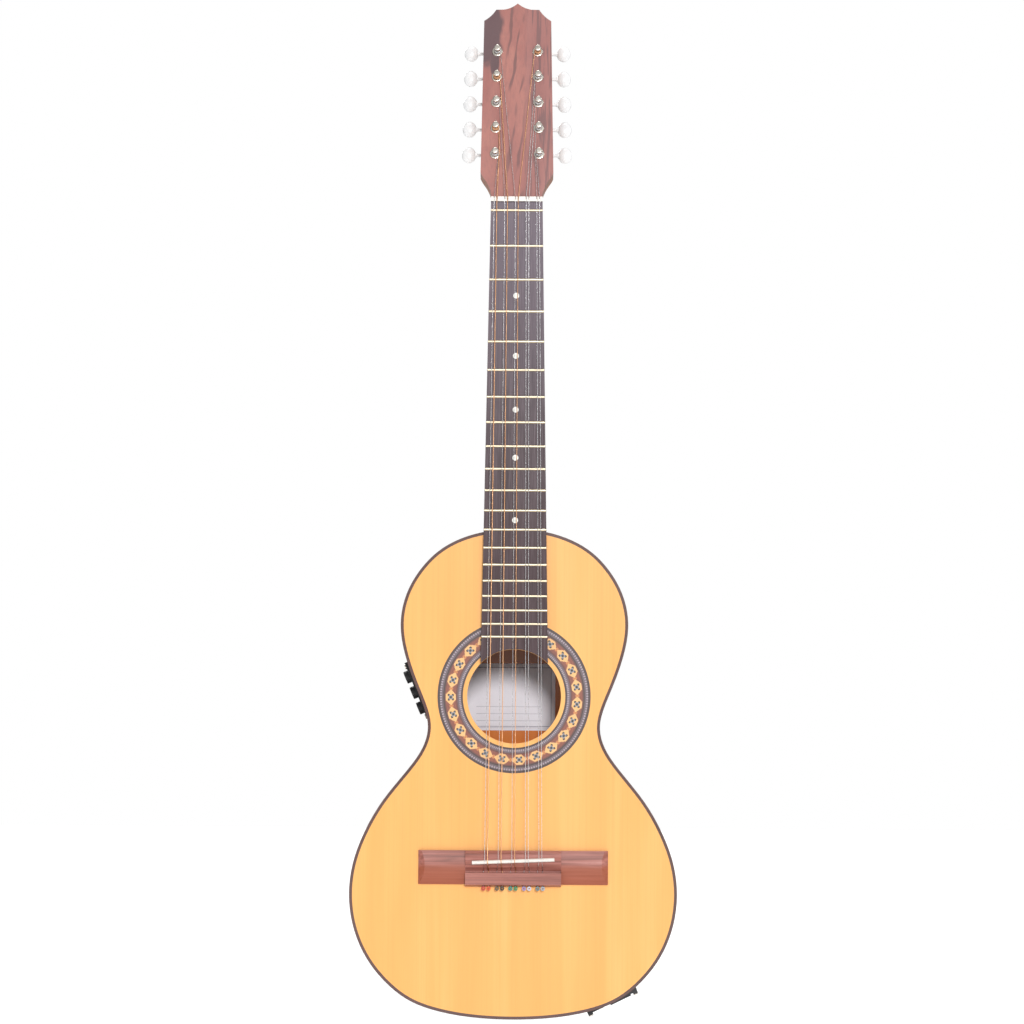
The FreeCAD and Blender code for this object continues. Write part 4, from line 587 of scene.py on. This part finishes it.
smoothing = makeSmoothing()
finishes = {name: makeWood(name) for name in woods}
finishes.update({name: makeMetal(name) for name in metals})
finishes.update({name: makePlastic(name) for name in plastics})
finishes["bronzeWinding"] = makeBronzeWinding()
finishes["ballEnamel"] = makeBallEnamel()
slotFinishes = {
    "spruce": "lacqueredSpruce", "spruce_brace": "rawSpruce", "rosewood_body": "sideRosewood",
    "rosewood": "bridgeRosewood", "dark_rosewood": "boardRosewood", "cedar": "rawCedar",
    "cedar_neck": "lacqueredCedar", "binding": "bindingWood",
    "rod_steel": "rolledSteelBar", "fret_metal": "nickelSilverFrets", "pearl": "pearlShell",
    "bone": "polishedBone", "pickup": "resinPickup", "string_steel": "drawnStringSteel",
    "bronze": "bronzeWinding", "coloured_ball": "ballEnamel", "nickel": "nickelPlate",
    "black_plastic": "mouldedAbs", "lead_jacket": "pvcJacket", "button_pearl": "castPearlButtons",
    "battery_case": "lacqueredSteelCan",
}
nodeFinishes = {"head_veneer": "headRosewood", "heel_cap": "bridgeRosewood", "bridge_plate": "rawCedar",
                "back_plate": "backRosewood"}


def dressNodes():
    slots = {part["node"]: part["material_slot"] for part in frame["record"]["subparts"]}
    for name, node in frame["nodes"].items():
        finish = nodeFinishes.get(name) or slotFinishes.get(slots[name])
        if not finish:
            continue
        node.data.materials.clear()
        node.data.materials.append(finishes[finish])
        node.modifiers.new("smoothShading", "NODES").node_group = smoothing


dressNodes()
print("carried-over nodes dressed")


# New pieces

def placePiece(name, mesh, materials, node):
    # a finished mesh becomes a piece on the body and stands for the node
    for material in materials:
        mesh.materials.append(material)
    piece = bpy.data.objects.new(name, mesh)
    bpy.context.scene.collection.objects.link(piece)
    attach(piece, rootBody)
    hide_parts(node)
    return piece


def buildLabel():
    # the solid's own curved sheet, cut to the edges that the photograph shows
    bm = bmesh.new()
    bm.from_mesh(frame["nodes"]["label"].data)
    bmesh.ops.remove_doubles(bm, verts=bm.verts, dist=mergeReach)
    rightEdge, topEdge = label["rightEdge"] * mm, label["topEdge"] * mm
    for point, outwards in (((rightEdge, 0, 0), (1, 0, 0)), ((0, 0, topEdge), (0, 0, 1))):
        parts = bm.verts[:] + bm.edges[:] + bm.faces[:]
        cut = bmesh.ops.bisect_plane(bm, geom=parts, plane_co=point, plane_no=outwards, clear_outer=True)
        rim = [part for part in cut["geom_cut"] if isinstance(part, bmesh.types.BMEdge)]
        bmesh.ops.edgenet_fill(bm, edges=rim)
    bmesh.ops.recalc_face_normals(bm, faces=bm.faces)
    mesh = bpy.data.meshes.new("paperLabel")
    bm.to_mesh(mesh)
    bm.free()
    low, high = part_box("label")
    high.x, high.z = rightEdge, topEdge
    return placePiece("paperLabel", mesh, [makeLabelPaper(low, high)], "label")


buildLabel()
print("label cut")


rosette = {
    "depth": 1.2,
    "tiles": 23,
    "tileStart": 1.0,      # degrees below the right-hand side where the first joint lies
    "cellsAlong": 16,      # small squares in a tile
    "cellsAcross": 10,
    # outer radius of each ring in mm, from the inside out, and its wood
    "rings": [(46.2, None), (47.9, "dark"), (49.8, "light"), (51.1, "grey"), (52.5, "plum"), (61.6, "mosaic"),
              (62.6, "plum"), (63.8, "dark"), (65.1, "grey"), (66.8, "light"), (69.0, "dark")],
    # in small squares from a tile's middle: its slanting edges, its heart, its cross, and from how far
    # along and up to how far across the peach tips go
    "hexagon": 7.0, "heart": 2.0, "cross": 3.0, "tips": ((6.0, 1.0), (7.0, 2.0)),
    "woods": {
        "dark": ("#463736", "#3A2C2B"), "light": ("#AA9CA4", "#8C7F88"), "dash": ("#6E5E62", "#5E5054"),
        "plum": ("#6C4038", "#5A3632"), "grey": ("#6A5A60", "#584A50"), "cream": ("#E4B478", "#D6A366"),
        "peach": ("#C47E4A", "#B06E3E"), "brown": ("#8A4E3C", "#763F30"), "teal": ("#8C8B90", "#7C7C80"),
        "ink": ("#34302F", "#272424")},
}


def mosaicWood(along, across):
    # the wood of one small square, by its distances from the tile's middle in squares
    nearer, further = sorted((along, across))
    if along + across > rosette["hexagon"]:
        atTip = any(along > start and across < reach for start, reach in rosette["tips"])
        return "peach" if atTip else "brown"
    if further < 1.0 or nearer > 1.0 and rosette["heart"] < further < rosette["cross"]:
        return "ink"
    return "teal" if further < rosette["heart"] else "cream"


def buildRosette():
    # a radial line is spun into flat rings, then the rings get their thickness
    look = rosette
    low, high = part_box("rosette")
    centre = Vector(((low.x + high.x) / 2, low.y, (low.z + high.z) / 2))
    names = list(look["woods"])
    radii = [look["rings"][0][0]]
    rowWoods = []
    for (inner, _), (outer, wood) in zip(look["rings"], look["rings"][1:]):
        cells = look["cellsAcross"] if wood == "mosaic" else 1
        radii += [inner + (outer - inner) * (i + 1) / cells for i in range(cells)]
        rowWoods += [(wood, i) for i in range(cells)]
    steps = look["tiles"] * look["cellsAlong"]
    bm = bmesh.new()
    line = [bm.verts.new(centre + Vector((r * mm, 0, 0))) for r in radii]
    edges = [bm.edges.new(pair) for pair in zip(line, line[1:])]
    bmesh.ops.spin(bm, geom=line + edges, cent=centre, axis=(0, 1, 0), angle=2 * math.pi, steps=steps,
                   use_merge=True)
    bmesh.ops.remove_doubles(bm, verts=bm.verts, dist=mergeReach)
    for face in bm.faces:
        offset = face.calc_center_median() - centre
        radius = offset.length / mm
        row = next(i for i in range(len(rowWoods)) if radii[i + 1] > radius)
        wood, across = rowWoods[row]
        if wood == "mosaic":
            angle = math.degrees(math.atan2(-offset.z, offset.x)) + look["tileStart"]
            step = int((angle % 360) / 360 * steps) % look["cellsAlong"]
            along = abs(step - (look["cellsAlong"] - 1) / 2)
            wood = mosaicWood(along, abs(across - (look["cellsAcross"] - 1) / 2))
        elif wood == "light" and int(math.degrees(math.atan2(offset.z, offset.x)) % 360 / 360 * steps) % 2:
            wood = "dash"
        face.material_index = names.index(wood)
    bmesh.ops.recalc_face_normals(bm, faces=bm.faces)
    if sum(face.normal.y for face in bm.faces) > 0:
        bmesh.ops.reverse_faces(bm, faces=bm.faces)
    bmesh.ops.solidify(bm, geom=bm.faces, thickness=look["depth"] * mm)
    mesh = bpy.data.meshes.new("rosetteInlay")
    bm.to_mesh(mesh)
    bm.free()
    materials = [makeDyedWood(f"dyedVeneer_{n}", *look["woods"][n]) for n in names]
    return placePiece("rosetteInlay", mesh, materials, "rosette")


buildRosette()
print("rosette built")


leads = {
    "diameter": 2.4,
    "roundness": 4, "smoothness": 16, "order": 3,   # steps round and along the cord, the curve's order
    # route points in mm, as the solids follow them: pickup to preamp, and preamp to jack
    "pickup": [(-31.3, -3.2, -600.6), (-31.3, 28.8, -600.6), (-46.0, 46.0, -570.0), (-62.0, 47.0, -535.0),
               (-62.7, 39.8, -480.0), (-68.8, 39.8, -465.3)],
    "output": [(-68.8, 47.8, -465.3), (-62.7, 47.8, -480.0), (-56.0, 58.0, -522.0), (-34.0, 63.0, -574.0),
               (-2.0, 63.0, -618.0), (32.0, 58.0, -654.0), (61.4, 42.3, -695.5), (68.4, 42.3, -709.9)],
    "lengths": {"pickup": 0.1757, "output": 0.2887},
}


def buildLead(name):
    # a smooth curve on the route's points, thickened to the lead's diameter
    points = leads[name]
    curve = bpy.data.curves.new(name + "Lead", "CURVE")
    curve.dimensions = "3D"
    curve.bevel_depth = leads["diameter"] * mm / 2
    curve.bevel_resolution = leads["roundness"]
    curve.use_fill_caps = True
    curve.resolution_u = leads["smoothness"]
    spline = curve.splines.new("NURBS")
    spline.points.add(len(points) - 1)
    for target, point in zip(spline.points, points):
        target.co = (*[c * mm for c in point], 1.0)
    spline.order_u = leads["order"]
    spline.use_endpoint_u = True
    curve.materials.append(finishes["pvcJacket"])
    lead = bpy.data.objects.new(name + "Lead", curve)
    bpy.context.scene.collection.objects.link(lead)
    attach(lead, rootBody)
    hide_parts("pickup_leads")


buildLead("pickup")
buildLead("output")
print("leads built")


# Floor, light and camera

studio = {
    "floor": "#FFFFFF",
    "floorSize": 8.0,      # metres
    "floorCells": 8,       # along each side
    "floorDrop": 0.08,     # metres below the body, which hangs by its head: the drawer slides out there
    "skyStrength": 0.38,   # light from all round; the backdrop itself is seen white
    # each soft sun: degrees up, degrees round to the treble side, strength, spread in degrees
    "suns": [(17, 8, 2.2, 14), (84, 180, 1.7, 30), (28, 205, 1.1, 25), (20, 95, 0.5, 25)],
}


def buildStudio():
    low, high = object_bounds()
    bm = bmesh.new()
    cells, half = studio["floorCells"], studio["floorSize"] / 2
    bmesh.ops.create_grid(bm, x_segments=cells, y_segments=cells, size=half)
    bmesh.ops.translate(bm, verts=bm.verts, vec=(0, 0, low.z - studio["floorDrop"]))
    mesh = bpy.data.meshes.new("paleFloor")
    bm.to_mesh(mesh)
    bm.free()
    # matt studio paper: even, pale
    paper = startMaterial("studioPaper", {"Base Color": studio["floor"], "Roughness": 0.9})[0]
    mesh.materials.append(paper)
    floor = bpy.data.objects.new("paleFloor", mesh)
    bpy.context.scene.collection.objects.link(floor)
    world = bpy.data.worlds.new("studioWorld")
    bpy.context.scene.world = world
    world.use_nodes = True
    tree = world.node_tree
    backdrop = tree.nodes["Background"]
    fillSocket(tree, backdrop.inputs["Color"], "#FFFFFF")
    seen = addNode(tree, "ShaderNodeLightPath", {}, {}, "Is Camera Ray")
    glow = addNode(tree, "ShaderNodeMapRange", {}, {"Value": seen, "To Min": studio["skyStrength"]})
    fillSocket(tree, backdrop.inputs["Strength"], glow)
    for number, (rise, around, strength, spread) in enumerate(studio["suns"]):
        light = bpy.data.lights.new(f"softSun{number}", "SUN")
        light.energy = strength
        light.angle = math.radians(spread)
        lamp = bpy.data.objects.new(f"softSun{number}", light)
        bpy.context.scene.collection.objects.link(lamp)
        up, turn = math.radians(rise), math.radians(around)
        towards = Vector((math.sin(turn) * math.cos(up), -math.cos(turn) * math.cos(up), math.sin(up)))
        lamp.rotation_euler = towards.to_track_quat("Z", "Y").to_euler()
    bpy.context.scene.view_settings.view_transform = "Standard"


view = {
    "place": (-0.0028, -2.503934, -0.414096),   # metres
    "rise": 2.929,       # degrees that the camera looks up
    "roll": 0.0056,      # how far its right side dips, as a slope
    "lens": 97.494,      # mm, for a sensor this wide
    "sensor": 36.0,
}


def buildCamera():
    data = bpy.data.cameras.new("photoCamera")
    data.lens = view["lens"]
    data.sensor_width = view["sensor"]
    camera = bpy.data.objects.new("photoCamera", data)
    bpy.context.scene.collection.objects.link(camera)
    rise = math.radians(view["rise"])
    level = Vector((1, 0, 0))
    upright = Vector((0, -math.sin(rise), math.cos(rise)))
    right = (level + upright * view["roll"]).normalized()
    up = (upright - level * view["roll"]).normalized()
    turn = Matrix((right, up, right.cross(up))).transposed()
    camera.matrix_world = Matrix.Translation(view["place"]) @ turn.to_4x4()
    bpy.context.scene.camera = camera


buildStudio()
buildCamera()
print("studio and camera ready")
